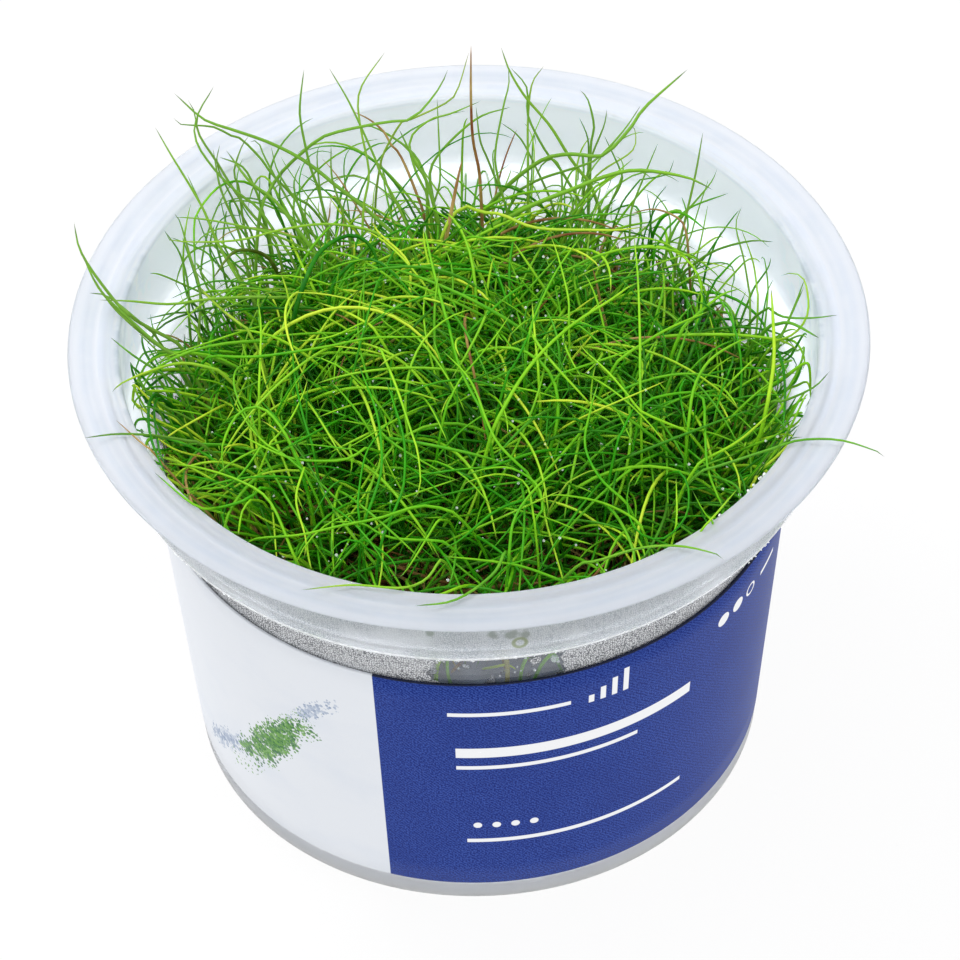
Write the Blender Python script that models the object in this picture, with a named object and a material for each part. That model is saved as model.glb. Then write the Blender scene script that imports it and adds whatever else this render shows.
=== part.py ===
"""Dwarf hairgrass growing in a round culture cup with a wide rim and no lid, at its real size.

The origin is the centre of the cup's underside. +Z is up, and the middle of the printed band's
front faces -Y. Dimensions are written in millimetres times MM, so every value used is in metres.

The pieces are the moulded cup, the printed band round it, the growing gel in its bottom, the brown
mat of roots and old leaves on the gel, and the tufts that grow out of that mat. Each tuft is one
grown thing: a short crown from which tapering blades rise, arch over and cross one another.
"""
import math

import bpy
import numpy as np

MM = 0.001
GAP = 0.3 * MM

# The cup's wall
WALL_THICKNESS = 0.8 * MM
FOOT_RADIUS = 35.3 * MM
WALL_RADIUS_AT_FOOT = 35.62 * MM
WALL_TAPER = 0.0928
FLOOR_THICKNESS = 1.2 * MM
WALL_TOP_Z = 51.6 * MM

# The collar above the wall, where a lid would sit
COLLAR_FOOT_Z = 53.1 * MM
COLLAR_RADIUS_LOW = 44.6 * MM
COLLAR_RADIUS_HIGH = 44.9 * MM
COLLAR_INSIDE_LOW = 43.3 * MM
COLLAR_INSIDE_HIGH = 43.6 * MM
LEDGE_TOP_Z = 53.9 * MM
LEDGE_INSIDE = 40.9 * MM

# The flat rim
RIM_RADIUS = 50.0 * MM
RIM_TOP_Z = 64.5 * MM
RIM_THICKNESS = 0.8 * MM
RIM_EDGE_THICKNESS = 0.3 * MM
RIM_EDGE_BAND = 2.0 * MM
RIM_GROOVE_DEPTH = 0.2 * MM

CUP_SEGMENTS = 48

# The printed band
LABEL_BOTTOM_Z = 3.1 * MM
LABEL_TOP_Z = 44.2 * MM
LABEL_THICKNESS = 0.2 * MM
LABEL_SEGMENTS = 48

# The growing gel and the mat of roots on it
GEL_TOP_Z = 15.0 * MM
GEL_SEGMENTS = 36
MAT_TOP_Z = 42.0 * MM
MAT_DOME = 3.5 * MM
MAT_LUMP = 0.8 * MM
MAT_SEGMENTS = 36
MAT_RINGS = 5

# The tufts
TUFT_COUNT = 36
TUFT_FIELD_RADIUS = 34.0 * MM
GOLDEN_ANGLE = math.pi * (3.0 - math.sqrt(5.0))
CROWN_RADIUS = 3.6 * MM
CROWN_TOP_RADIUS = 2.0 * MM
CROWN_HEIGHT = 5.0 * MM
CROWN_SIDES = 6
BLADES_PER_TUFT = 5
BLADE_SIDES = 3
LONG_BLADE_PIECES = 6
BLADE_PIECES = 4
BLADE_RADIUS = 1.15 * MM
BLADE_TIP_RADIUS = 0.26 * MM
BLADE_ROOT_SPREAD = 0.9 * MM
BLADE_ROOT_HEIGHT = 2.4 * MM
BLADES_PART_HEIGHT = 4.0 * MM
MAT_CLEARANCE = 0.6 * MM
EDGE_SHARE = 0.75
BLADE_SHARP_ANGLE = 70.0

# How blades are placed: spacing of the points tested, tries for each blade, and which tuft a long
# blade grows from, as a share of its tip's distance from the middle
PATH_SAMPLE = 0.6 * MM
BLADE_TRIES = 300
NEAREST_TUFTS = 4
TUFT_SHARE = 4.0 * MM
LONG_BLADE_FOOT = 0.72
SEED = 17

# The space behind the clump that no blade enters: half width, front and height above the ledge
BACK_SPACE_HALF_WIDTH = 11.0 * MM
BACK_SPACE_FRONT = 38.0 * MM
BACK_SPACE_TOP_Z = 66.0 * MM

# Tips of the long blades that stand clear of the clump, in millimetres: across, back and up
LONG_BLADE_TIPS = (
    (-39, 28, 75), (-36, 35, 75), (-31, 36, 75), (-20, 39, 75), (-17, 33, 80), (-10, 36, 79),
    (-2, 35, 77), (1, 35, 82), (5, 35, 80), (11, 37, 76), (15, 36, 72), (18, 34, 70), (23, 33, 72),
    (29, 35, 76), (25, 33, 66), (30, 30, 70), (32, 27, 67), (34, 25, 63), (39, 14, 66),
    (38, 10, 63), (46, 0, 67), (44, -3, 66), (45, -9, 66), (41, -20, 66), (51, -23, 65),
    (-49, 20, 72), (-47, 7, 67), (-46, 1, 69), (-37, 20, 68), (-38, 16, 66), (-44, -9, 66),
    (-44, -14, 66), (-48, -17, 66), (-9, -43, 65.4), (-7, -46, 65.3), (30, -40, 65.3),
)


def clear_scene():
    """Remove every object of the starting scene."""
    for scene_object in list(bpy.data.objects):
        bpy.data.objects.remove(scene_object, do_unlink=True)


def make_material(name, colour, roughness):
    """Return a plain Principled material of one colour."""
    material = bpy.data.materials.new(name)
    material.use_nodes = True
    shader = material.node_tree.nodes["Principled BSDF"]
    shader.inputs["Base Color"].default_value = (*colour, 1.0)
    shader.inputs["Roughness"].default_value = roughness
    shader.inputs["Metallic"].default_value = 0.0
    return material


def add_object(name, points, faces, material, sharp_angle=None):
    """Make a mesh object from points and faces; a sharp angle in degrees shades it smooth below it."""
    mesh = bpy.data.meshes.new(name)
    mesh.from_pydata([tuple(float(value) for value in point) for point in points], [], faces)
    mesh.validate()
    if sharp_angle is not None:
        mesh.shade_smooth()
        mesh.set_sharp_from_angle(angle=math.radians(sharp_angle))
    made = bpy.data.objects.new(name, mesh)
    made.data.materials.append(material)
    bpy.context.scene.collection.objects.link(made)
    return made


def turned(profile, segments):
    """Turn an outline of (radius, height) points about +Z and return points and faces.

    The outline runs counter-clockwise in the half-plane of radius and height. It is closed. A point
    at radius 0 becomes one point on the axis, and the two neighbours on the axis aren't joined.
    """
    points = []
    rings = []
    for radius, height in profile:
        if radius == 0.0:
            rings.append([len(points)])
            points.append((0.0, 0.0, height))
            continue
        start = len(points)
        for step in range(segments):
            angle = 2.0 * math.pi * step / segments
            points.append((radius * math.cos(angle), radius * math.sin(angle), height))
        rings.append(list(range(start, start + segments)))
    faces = []
    for index, ring in enumerate(rings):
        following = rings[(index + 1) % len(rings)]
        for step in range(segments):
            after = (step + 1) % segments
            if len(ring) == 1 and len(following) == 1:
                continue
            if len(ring) == 1:
                faces.append((ring[0], following[after], following[step]))
            elif len(following) == 1:
                faces.append((ring[step], ring[after], following[0]))
            else:
                faces.append((ring[step], ring[after], following[after], following[step]))
    return points, faces


def wall_outside(height):
    """Outer radius of the tapering wall at a height."""
    return WALL_RADIUS_AT_FOOT + WALL_TAPER * height


def wall_inside(height):
    """Inner radius of the tapering wall at a height."""
    return wall_outside(height) - WALL_THICKNESS


def cup_inside(height):
    """Inner radius of the whole cup at a height, up to the rim."""
    if height < LEDGE_TOP_Z:
        return wall_inside(min(height, WALL_TOP_Z))
    share = (height - LEDGE_TOP_Z) / (RIM_TOP_Z - LEDGE_TOP_Z)
    return COLLAR_INSIDE_LOW + (COLLAR_INSIDE_HIGH - COLLAR_INSIDE_LOW) * min(share, 1.0)


def build_cup(material):
    """The cup: flat foot, tapering wall, stepped collar and flat rim, in one turned body."""
    foot_corner = WALL_RADIUS_AT_FOOT - FOOT_RADIUS
    rim_under_z = RIM_TOP_Z - RIM_THICKNESS
    groove_z = RIM_TOP_Z - RIM_GROOVE_DEPTH
    outside = [
        (0.0, 0.0),
        (FOOT_RADIUS, 0.0),
        (FOOT_RADIUS + 0.7 * foot_corner, 0.3 * foot_corner),
        (wall_outside(foot_corner), foot_corner),
        (wall_outside(WALL_TOP_Z), WALL_TOP_Z),
        (COLLAR_RADIUS_LOW - 0.6 * MM, COLLAR_FOOT_Z),
        (COLLAR_RADIUS_LOW, COLLAR_FOOT_Z + 0.9 * MM),
        (COLLAR_RADIUS_HIGH, rim_under_z - 0.8 * MM),
        (COLLAR_RADIUS_HIGH + 0.8 * MM, rim_under_z),
        (RIM_RADIUS - 0.7 * MM, rim_under_z),
        (RIM_RADIUS, RIM_TOP_Z - RIM_EDGE_THICKNESS),
        (RIM_RADIUS - 0.1 * MM, RIM_TOP_Z),
    ]
    inside = [
        (RIM_RADIUS - RIM_EDGE_BAND, RIM_TOP_Z),
        (RIM_RADIUS - RIM_EDGE_BAND - 0.3 * MM, groove_z),
        (COLLAR_INSIDE_HIGH + 1.0 * MM, groove_z),
        (COLLAR_INSIDE_HIGH + 0.2 * MM, groove_z - 0.4 * MM),
        (COLLAR_INSIDE_HIGH, groove_z - 1.2 * MM),
        (COLLAR_INSIDE_LOW, LEDGE_TOP_Z + 1.1 * MM),
        (COLLAR_INSIDE_LOW - 0.7 * MM, LEDGE_TOP_Z + 0.2 * MM),
        (LEDGE_INSIDE, LEDGE_TOP_Z),
        (wall_inside(WALL_TOP_Z) + 0.2 * MM, LEDGE_TOP_Z - 1.1 * MM),
        (wall_inside(FLOOR_THICKNESS + 1.0 * MM), FLOOR_THICKNESS + 1.0 * MM),
        (wall_inside(FLOOR_THICKNESS) - 1.0 * MM, FLOOR_THICKNESS),
        (0.0, FLOOR_THICKNESS),
    ]
    points, faces = turned(outside + inside, CUP_SEGMENTS)
    return add_object("cup", points, faces, material, sharp_angle=40.0)


def build_label(material):
    """The printed band: a thin sleeve that follows the taper of the wall."""
    inner = GAP
    outer = GAP + LABEL_THICKNESS
    profile = [
        (wall_outside(LABEL_BOTTOM_Z) + inner, LABEL_BOTTOM_Z),
        (wall_outside(LABEL_BOTTOM_Z) + outer, LABEL_BOTTOM_Z),
        (wall_outside(LABEL_TOP_Z) + outer, LABEL_TOP_Z),
        (wall_outside(LABEL_TOP_Z) + inner, LABEL_TOP_Z),
    ]
    points, faces = turned(profile, LABEL_SEGMENTS)
    return add_object("label", points, faces, material, sharp_angle=40.0)


def build_gel(material):
    """The growing gel: a disc that fills the bottom of the cup, with a slightly raised edge."""
    bottom = FLOOR_THICKNESS + GAP
    corner = 1.4 * MM
    creep = 0.6 * MM
    clearance = 2.0 * GAP
    profile = [
        (0.0, bottom),
        (wall_inside(bottom) - corner - clearance, bottom),
        (wall_inside(bottom + corner) - clearance, bottom + corner),
        (wall_inside(GEL_TOP_Z) - clearance, GEL_TOP_Z),
        (wall_inside(GEL_TOP_Z) - 3.0 * MM, GEL_TOP_Z - creep),
        (0.0, GEL_TOP_Z - creep),
    ]
    points, faces = turned(profile, GEL_SEGMENTS)
    return add_object("growing_gel", points, faces, material, sharp_angle=40.0)


def mat_height(x, y):
    """Height of the mat's top: a low dome with lumps that die away at its edge."""
    edge = wall_inside(MAT_TOP_Z)
    share = min(math.hypot(x, y) / edge, 1.0)
    lumps = math.sin(x / (5.1 * MM) + 0.7) * math.cos(y / (6.3 * MM) - 0.4)
    return MAT_TOP_Z + (MAT_DOME + MAT_LUMP * lumps) * (1.0 - share * share)


def build_mat(material):
    """The mat of roots and old leaves: fills the cup above the gel, with a lumpy domed top."""
    bottom = GEL_TOP_Z + GAP
    clearance = 2.0 * GAP
    points = [(0.0, 0.0, bottom)]
    rings = []

    def add_ring(radius, height_at):
        start = len(points)
        for step in range(MAT_SEGMENTS):
            angle = 2.0 * math.pi * step / MAT_SEGMENTS
            x, y = radius * math.cos(angle), radius * math.sin(angle)
            points.append((x, y, height_at(x, y)))
        rings.append(range(start, start + MAT_SEGMENTS))

    add_ring(wall_inside(bottom) - clearance, lambda x, y: bottom)
    for ring in range(MAT_RINGS, 0, -1):
        add_ring((wall_inside(MAT_TOP_Z) - clearance) * ring / MAT_RINGS, mat_height)
    points.append((0.0, 0.0, mat_height(0.0, 0.0)))
    last = len(points) - 1
    faces = []
    for step in range(MAT_SEGMENTS):
        after = (step + 1) % MAT_SEGMENTS
        faces.append((0, rings[0][after], rings[0][step]))
        for lower, upper in zip(rings, rings[1:]):
            faces.append((lower[step], lower[after], upper[after], upper[step]))
        faces.append((rings[-1][step], rings[-1][after], last))
    return add_object("root_mat", points, faces, material, sharp_angle=60.0)


class Crowd:
    """The space that crowns and blades already take, as balls along their centre lines."""

    def __init__(self):
        self.centres = np.zeros((0, 3))
        self.radii = np.zeros(0)
        self.owners = np.zeros(0, dtype=int)

    def add(self, owner, centres, radii):
        self.centres = np.vstack([self.centres, centres])
        self.radii = np.concatenate([self.radii, radii])
        self.owners = np.concatenate([self.owners, np.full(len(radii), owner)])

    def room_for(self, owner, centres, radii, own_start):
        """True when the line clears every other tuft, and its own tuft's blades past own_start."""
        reach = CROWN_RADIUS + BLADE_RADIUS + GAP
        lowest, highest = centres.min(axis=0) - reach, centres.max(axis=0) + reach
        near = ((self.centres > lowest) & (self.centres < highest)).all(axis=1)
        balls, sizes, owners = self.centres[near], self.radii[near], self.owners[near]
        apart = np.linalg.norm(centres[:, None, :] - balls[None, :, :], axis=2)
        meets = apart < radii[:, None] + sizes[None, :] + GAP
        own = owners == owner
        past = centres[:, 2] > own_start
        own_past = own & (balls[:, 2] > own_start)
        return not (meets[:, ~own].any() or meets[np.ix_(past, own_past)].any())


def inside_cup(centres, radii):
    """True when a line clears the cup's wall and rim, and stays out of the space behind the clump."""
    for (x, y, z), radius in zip(centres, radii):
        out = math.hypot(x, y) + radius + GAP
        over_rim = z - radius - GAP > RIM_TOP_Z
        past_rim = math.hypot(x, y) - radius - GAP > RIM_RADIUS
        if not (out < cup_inside(z - radius) or over_rim or past_rim):
            return False
        behind = y + radius > BACK_SPACE_FRONT and abs(x) < BACK_SPACE_HALF_WIDTH
        if behind and z - radius < BACK_SPACE_TOP_Z:
            return False
    return True


def sampled(path):
    """Points close together along a path of straight pieces, and each one's share of its length."""
    lengths = np.linalg.norm(np.diff(path, axis=0), axis=1)
    reached = np.concatenate([[0.0], np.cumsum(lengths)])
    shares = np.linspace(0.0, 1.0, max(int(reached[-1] / PATH_SAMPLE), 2) + 1)
    centres = np.stack([np.interp(shares * reached[-1], reached, path[:, axis]) for axis in range(3)], 1)
    return centres, shares


def blade_radius(shares):
    """Radius along a blade: almost even over the lower half, then drawn out to the tip."""
    return BLADE_TIP_RADIUS + (BLADE_RADIUS - BLADE_TIP_RADIUS) * (1.0 - shares ** 1.6)


def arching_path(root, heading, lean, bend, curl, length):
    """A blade that leaves its root at a lean from upright and bends over by so much along its length."""
    share = np.linspace(0.0, 1.0, 40)
    tilt = lean + bend * share ** 1.4
    turn = heading + curl * share
    steps = np.stack([np.sin(tilt) * np.cos(turn), np.sin(tilt) * np.sin(turn), np.cos(tilt)], axis=1)
    line = np.vstack([np.zeros(3), np.cumsum(steps[:-1], axis=0) / (len(share) - 1)])
    path = np.array(root) + length * line
    kept = np.linspace(0, len(share) - 1, BLADE_PIECES + 1).round().astype(int)
    return path[kept]


def reaching_path(root, tip, arch, bow):
    """A blade from its root to a known tip: a cubic curve that rises first, then arches over.

    The arch and the sideways bow are shares of the distance that the blade reaches across.
    """
    root = np.array(root)
    tip = np.array(tip)
    across = (tip - root) * (1.0, 1.0, 0.0)
    side = np.array((-across[1], across[0], 0.0)) * bow
    rise = np.array((0.0, 0.0, tip[2] - root[2]))
    up = np.array((0.0, 0.0, arch * np.linalg.norm(across)))
    first = root + 0.15 * across + side + 0.5 * rise + 0.7 * up
    second = root + 0.58 * across + side + 0.8 * rise + up
    share = np.linspace(0.0, 1.0, LONG_BLADE_PIECES + 1)[:, None]
    rest = 1.0 - share
    return (rest ** 3 * root + 3.0 * rest ** 2 * share * first
            + 3.0 * rest * share ** 2 * second + share ** 3 * tip)


def blade_mesh(path):
    """A closed tapering rod along a path, with a pointed tip, as points and faces."""
    radii = blade_radius(np.linspace(0.0, 1.0, len(path)))
    points = []
    faces = []
    along = np.gradient(path, axis=0)
    along /= np.linalg.norm(along, axis=1)[:, None]
    across = np.cross(along[0], (0.0, 0.0, 1.0)) + (1e-6, 0.0, 0.0)
    for index in range(len(path) - 1):
        across = across - along[index] * across.dot(along[index])
        across /= np.linalg.norm(across)
        normal = np.cross(along[index], across)
        for side in range(BLADE_SIDES):
            angle = 2.0 * math.pi * side / BLADE_SIDES
            offset = across * math.cos(angle) + normal * math.sin(angle)
            points.append(path[index] + offset * radii[index])
    points.append(path[-1])
    tip = len(points) - 1
    faces.append(tuple(reversed(range(BLADE_SIDES))))
    for index in range(len(path) - 2):
        for side in range(BLADE_SIDES):
            after = (side + 1) % BLADE_SIDES
            low, high = index * BLADE_SIDES, (index + 1) * BLADE_SIDES
            faces.append((low + side, low + after, high + after, high + side))
    top = (len(path) - 2) * BLADE_SIDES
    for side in range(BLADE_SIDES):
        faces.append((top + side, top + (side + 1) % BLADE_SIDES, tip))
    return points, faces


def crown_mesh(x, y, z):
    """The short stem base of a tuft, a tapered prism, as points and faces."""
    profile = [(0.0, z), (CROWN_RADIUS, z), (CROWN_TOP_RADIUS, z + CROWN_HEIGHT), (0.0, z + CROWN_HEIGHT)]
    points, faces = turned(profile, CROWN_SIDES)
    return [(px + x, py + y, pz) for px, py, pz in points], faces


def joined_tuft(name, crown, blades, material):
    """Join a crown and its blades into one solid by a Boolean union."""
    tuft = add_object(name, *crown, material)
    parts = bpy.data.collections.new(name + "_blades")
    for number, (points, faces) in enumerate(blades):
        blade = add_object(f"{name}_blade_{number}", points, faces, material)
        bpy.context.scene.collection.objects.unlink(blade)
        parts.objects.link(blade)
    bpy.context.scene.collection.children.link(parts)
    union = tuft.modifiers.new("union", "BOOLEAN")
    union.operation = "UNION"
    union.solver = "EXACT"
    union.operand_type = "COLLECTION"
    union.collection = parts
    seen = tuft.evaluated_get(bpy.context.evaluated_depsgraph_get())
    whole = bpy.data.meshes.new_from_object(seen)
    whole.shade_smooth()
    whole.set_sharp_from_angle(angle=math.radians(BLADE_SHARP_ANGLE))
    tuft.modifiers.remove(union)
    tuft.data = whole
    for blade in list(parts.objects):
        bpy.data.objects.remove(blade, do_unlink=True)
    bpy.data.collections.remove(parts)
    return tuft


def tuft_places():
    """Places of the tufts' crowns, spread evenly over the mat in a spiral."""
    places = []
    around = (-CROWN_RADIUS, 0.0, CROWN_RADIUS)
    for index in range(TUFT_COUNT):
        radius = TUFT_FIELD_RADIUS * math.sqrt((index + 0.5) / TUFT_COUNT)
        angle = index * GOLDEN_ANGLE
        x, y = radius * math.cos(angle), radius * math.sin(angle)
        highest = max(mat_height(x + dx, y + dy) for dx in around for dy in around)
        places.append((x, y, highest + MAT_CLEARANCE))
    return places


class Clump:
    """All the tufts while they grow: where they stand, their blades so far and the space taken."""

    def __init__(self):
        self.rng = np.random.default_rng(SEED)
        self.places = tuft_places()
        self.blades = [[] for _ in self.places]
        self.crowd = Crowd()
        shares = np.linspace(0.0, 1.0, 4)
        radii = CROWN_RADIUS + (CROWN_TOP_RADIUS - CROWN_RADIUS) * shares
        for owner, (x, y, z) in enumerate(self.places):
            self.crowd.add(owner, np.array([(x, y, z + share * CROWN_HEIGHT) for share in shares]), radii)

    def root(self, owner):
        """A point inside a tuft's crown where a blade starts."""
        angle = self.rng.uniform(0.0, 2.0 * math.pi)
        radius = BLADE_ROOT_SPREAD * math.sqrt(self.rng.uniform())
        x, y, z = self.places[owner]
        return (x + radius * math.cos(angle), y + radius * math.sin(angle), z + BLADE_ROOT_HEIGHT)

    def add_blade(self, owner, path):
        """Give a tuft a blade along a path, unless something is in its way. True when it was added."""
        centres, shares = sampled(path)
        radii = blade_radius(shares)
        mat = np.array([mat_height(x, y) for x, y in centres[:, :2]])
        if (centres[:, 2] - radii < mat + MAT_CLEARANCE)[1:].any() or not inside_cup(centres, radii):
            return False
        base = self.places[owner][2]
        risen = centres[:, 2] > base + BLADE_ROOT_HEIGHT
        parting = base + CROWN_HEIGHT + BLADES_PART_HEIGHT
        if not self.crowd.room_for(owner, centres[risen], radii[risen], parting):
            return False
        self.crowd.add(owner, centres, radii)
        self.blades[owner].append(blade_mesh(path))
        return True

    def reach(self, tip):
        """Grow one long blade to a known tip, from the nearest tuft that has a free way to it."""
        foot = tip[:2] * LONG_BLADE_FOOT

        def cost(owner):
            return math.dist(self.places[owner][:2], foot) + TUFT_SHARE * len(self.blades[owner])

        for owner in sorted(range(TUFT_COUNT), key=cost)[:NEAREST_TUFTS]:
            for _ in range(BLADE_TRIES):
                arch, bow = self.rng.uniform(0.1, 0.75), self.rng.uniform(-0.25, 0.25)
                if self.add_blade(owner, reaching_path(self.root(owner), tip, arch, bow)):
                    return

    def fill(self, owner):
        """Grow one arching blade on a tuft; at the edge of the clump it leans along the wall."""
        x, y, _ = self.places[owner]
        at_edge = math.hypot(x, y) > EDGE_SHARE * TUFT_FIELD_RADIUS
        for _ in range(BLADE_TRIES):
            heading = self.rng.uniform(-math.pi, math.pi)
            if at_edge:
                heading = math.atan2(y, x) + self.rng.choice((-1.0, 1.0)) * self.rng.uniform(0.3, 2.2)
            lean, bend = self.rng.uniform(0.05, 0.7), self.rng.uniform(0.5, 1.7)
            curl, length = self.rng.uniform(-1.3, 1.3), self.rng.uniform(21.0, 33.0) * MM
            if self.add_blade(owner, arching_path(self.root(owner), heading, lean, bend, curl, length)):
                return


def grow_tufts(material):
    """Grow every tuft: first the long blades that reach known tips, then the arching ones between."""
    clump = Clump()
    for tip in LONG_BLADE_TIPS:
        clump.reach(np.array(tip) * MM)
    for _ in range(BLADES_PER_TUFT):
        for owner in range(TUFT_COUNT):
            if len(clump.blades[owner]) < BLADES_PER_TUFT:
                clump.fill(owner)
    for owner, place in enumerate(clump.places):
        joined_tuft(f"grass_tuft_{owner + 1:02d}", crown_mesh(*place), clump.blades[owner], material)


def main():
    """Build every piece in its place."""
    clear_scene()
    build_cup(make_material("cup_plastic", (0.78, 0.82, 0.86), 0.35))
    build_label(make_material("label_print", (0.03, 0.06, 0.30), 0.45))
    build_gel(make_material("clear_gel", (0.70, 0.68, 0.55), 0.20))
    build_mat(make_material("brown_roots", (0.10, 0.06, 0.02), 0.80))
    grow_tufts(make_material("green_blade", (0.08, 0.34, 0.02), 0.45))


if __name__ == "__main__":
    main()
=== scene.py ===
"""Dwarf hairgrass growing in a lidless culture cup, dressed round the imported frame.

Lengths are in metres in the frame's own axes: +Z runs up the cup's axis from its underside, and -Y points
to the middle of the printed band's front, where the camera stands.
"""

import logging
import math
from collections.abc import Callable
from dataclasses import dataclass, field
from enum import Enum

import bpy
import numpy as np
from mathutils import Matrix, Vector

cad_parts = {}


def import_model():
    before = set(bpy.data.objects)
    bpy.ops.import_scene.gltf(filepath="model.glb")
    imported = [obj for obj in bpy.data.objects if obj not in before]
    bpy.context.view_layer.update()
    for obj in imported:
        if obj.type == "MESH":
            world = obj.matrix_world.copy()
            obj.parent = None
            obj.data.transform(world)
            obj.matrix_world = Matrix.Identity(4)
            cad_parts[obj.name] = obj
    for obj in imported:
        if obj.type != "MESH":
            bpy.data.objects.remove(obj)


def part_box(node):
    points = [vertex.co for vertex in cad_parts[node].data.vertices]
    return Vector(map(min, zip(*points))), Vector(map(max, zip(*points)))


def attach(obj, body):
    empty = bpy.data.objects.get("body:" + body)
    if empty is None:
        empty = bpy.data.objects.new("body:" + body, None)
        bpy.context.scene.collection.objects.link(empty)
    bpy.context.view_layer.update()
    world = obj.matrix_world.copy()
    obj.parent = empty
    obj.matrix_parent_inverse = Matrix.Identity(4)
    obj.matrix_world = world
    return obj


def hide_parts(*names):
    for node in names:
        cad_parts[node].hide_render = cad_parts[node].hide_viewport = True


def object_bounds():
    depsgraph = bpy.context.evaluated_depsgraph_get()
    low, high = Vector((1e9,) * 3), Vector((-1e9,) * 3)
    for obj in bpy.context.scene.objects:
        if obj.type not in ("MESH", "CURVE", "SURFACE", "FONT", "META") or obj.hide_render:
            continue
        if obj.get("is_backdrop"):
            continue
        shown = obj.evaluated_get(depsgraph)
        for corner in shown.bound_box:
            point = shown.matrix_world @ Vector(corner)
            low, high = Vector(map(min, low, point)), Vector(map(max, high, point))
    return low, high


LOG = logging.getLogger("hairgrass")
MM = 0.001
BODY = "root"
PLASTIC_IOR = 1.49
WALL_TAPER = 0.0928
BEAD_BUMP = (0.7, 0.14 * MM)
IMAGE_SIZE = 960
SEED = 20

Range = tuple[float, float]
Triple = tuple[float, float, float]
Colour = Triple
Array = np.ndarray
Tree = bpy.types.NodeTree
Material = bpy.types.Material
Piece = bpy.types.Object
Socket = bpy.types.NodeSocket
Value = Socket | float


# Curves and soft stops on whole arrays

def unit(vectors: Array) -> Array:
    """Vectors divided by their own length."""
    return vectors / np.maximum(np.linalg.norm(vectors, axis=-1, keepdims=True), 1e-12)


def smooth(values: Array, low: float, high: float) -> Array:
    """A smooth step from 0 at low to 1 at high: 3 t squared less 2 t cubed."""
    share = np.clip((values - low) / (high - low), 0.0, 1.0)
    return share * share * (3.0 - 2.0 * share)


def soft_stop(values: Array, start: Array | float, limit: Array | float) -> Array:
    """Values that slow down past start and never pass limit.

    Args:
        values: what is stopped.
        start: where the slowing begins.
        limit: what is neared: start + room (1 - exp(-over / room)).

    Returns:
        The stopped values.
    """
    room = limit - start
    over = np.maximum(values - start, 0.0)
    return np.where(values > start, start + room * (1.0 - np.exp(-over / room)), values)


def cubic(t: Array, start: Array, end: Array, slope_in: Array, slope_out: Array) -> Array:
    """The cubic between two points with given slopes there, at shares t of the way.

    Args:
        t: shares of the way.
        start: the first point.
        end: the last point.
        slope_in: the slope at the first point.
        slope_out: the slope at the last point.

    Returns:
        (2 t^3 - 3 t^2 + 1) start + (t^3 - 2 t^2 + t) slope in, plus the same from the other end.
    """
    first = (2 * t**3 - 3 * t**2 + 1) * start + (t**3 - 2 * t**2 + t) * slope_in
    return first + (3 * t**2 - 2 * t**3) * end + (t**3 - t**2) * slope_out


def through(points: Array, count: int) -> Array:
    """A smooth curve through points, sampled evenly along its length.

    Each stretch is a Catmull-Rom cubic whose end slopes are half the chord between the neighbours.

    Args:
        points: the points to pass, one a row.
        count: how many samples come back.

    Returns:
        An array of count rows.
    """
    padded = np.vstack((2.0 * points[:1] - points[1:2], points, 2.0 * points[-1:] - points[-2:-1]))
    before, start, end, after = padded[:-3], padded[1:-2], padded[2:-1], padded[3:]
    t = np.linspace(0.0, 1.0, 12, endpoint=False)[None, :, None]
    slope_in = 0.5 * (end - before)[:, None]
    slope_out = 0.5 * (after - start)[:, None]
    curve = cubic(t, start[:, None], end[:, None], slope_in, slope_out)
    dense = np.vstack((curve.reshape(-1, points.shape[1]), points[-1:]))
    lengths = np.concatenate(([0.0], np.cumsum(np.linalg.norm(np.diff(dense, axis=0), axis=1))))
    wanted = np.linspace(0.0, lengths[-1], count)
    return np.stack([np.interp(wanted, lengths, dense[:, axis]) for axis in range(points.shape[1])], axis=1)


# Meshes from arrays

def make_piece(name: str, points: Array, faces: list[Array], material: Material) -> Piece:
    """A mesh object at the origin, made from whole arrays.

    Args:
        name: the piece's name.
        points: corner positions, one a row.
        faces: arrays of corner indices, one array for each number of corners.
        material: the finish of every face.

    Returns:
        The object, linked to the scene.
    """
    mesh = bpy.data.meshes.new(name)
    mesh.vertices.add(len(points))
    mesh.vertices.foreach_set("co", np.ascontiguousarray(points, np.float32).ravel())
    totals = np.concatenate([np.full(len(group), group.shape[1]) for group in faces]).astype(np.int32)
    corners = np.concatenate([group.ravel() for group in faces]).astype(np.int32)
    mesh.loops.add(len(corners))
    mesh.loops.foreach_set("vertex_index", corners)
    mesh.polygons.add(len(totals))
    mesh.polygons.foreach_set("loop_start", np.concatenate(([0], np.cumsum(totals)[:-1])).astype(np.int32))
    mesh.polygons.foreach_set("use_smooth", np.ones(len(totals), bool))
    mesh.update(calc_edges=True)
    mesh.validate()
    mesh.materials.append(material)
    piece = bpy.data.objects.new(name, mesh)
    bpy.context.scene.collection.objects.link(piece)
    return piece


def stepped(radius: float, height: float, pairs: tuple[Range, ...]) -> list[Range]:
    """Points of a profile, each a step outwards and up in millimetres from one radius and height."""
    return [(radius + out * MM, height + up * MM) for out, up in pairs]


def round_axis(reach: Array, angle: Array, z: Array) -> Array:
    """Points round the axis: (r sin a, -r cos a, z), so angle a is 0 at -Y and grows towards +X."""
    return np.stack(np.broadcast_arrays(reach * np.sin(angle), -reach * np.cos(angle), z), axis=-1)


def give_look(piece: Piece, look: Array) -> None:
    """Stores each corner's tone, place along its blade, dryness and fading for the blades' finish."""
    layer = piece.data.attributes.new("blade_look", "FLOAT_COLOR", "POINT")
    layer.data.foreach_set("color", look.astype(np.float32).ravel())


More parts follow.
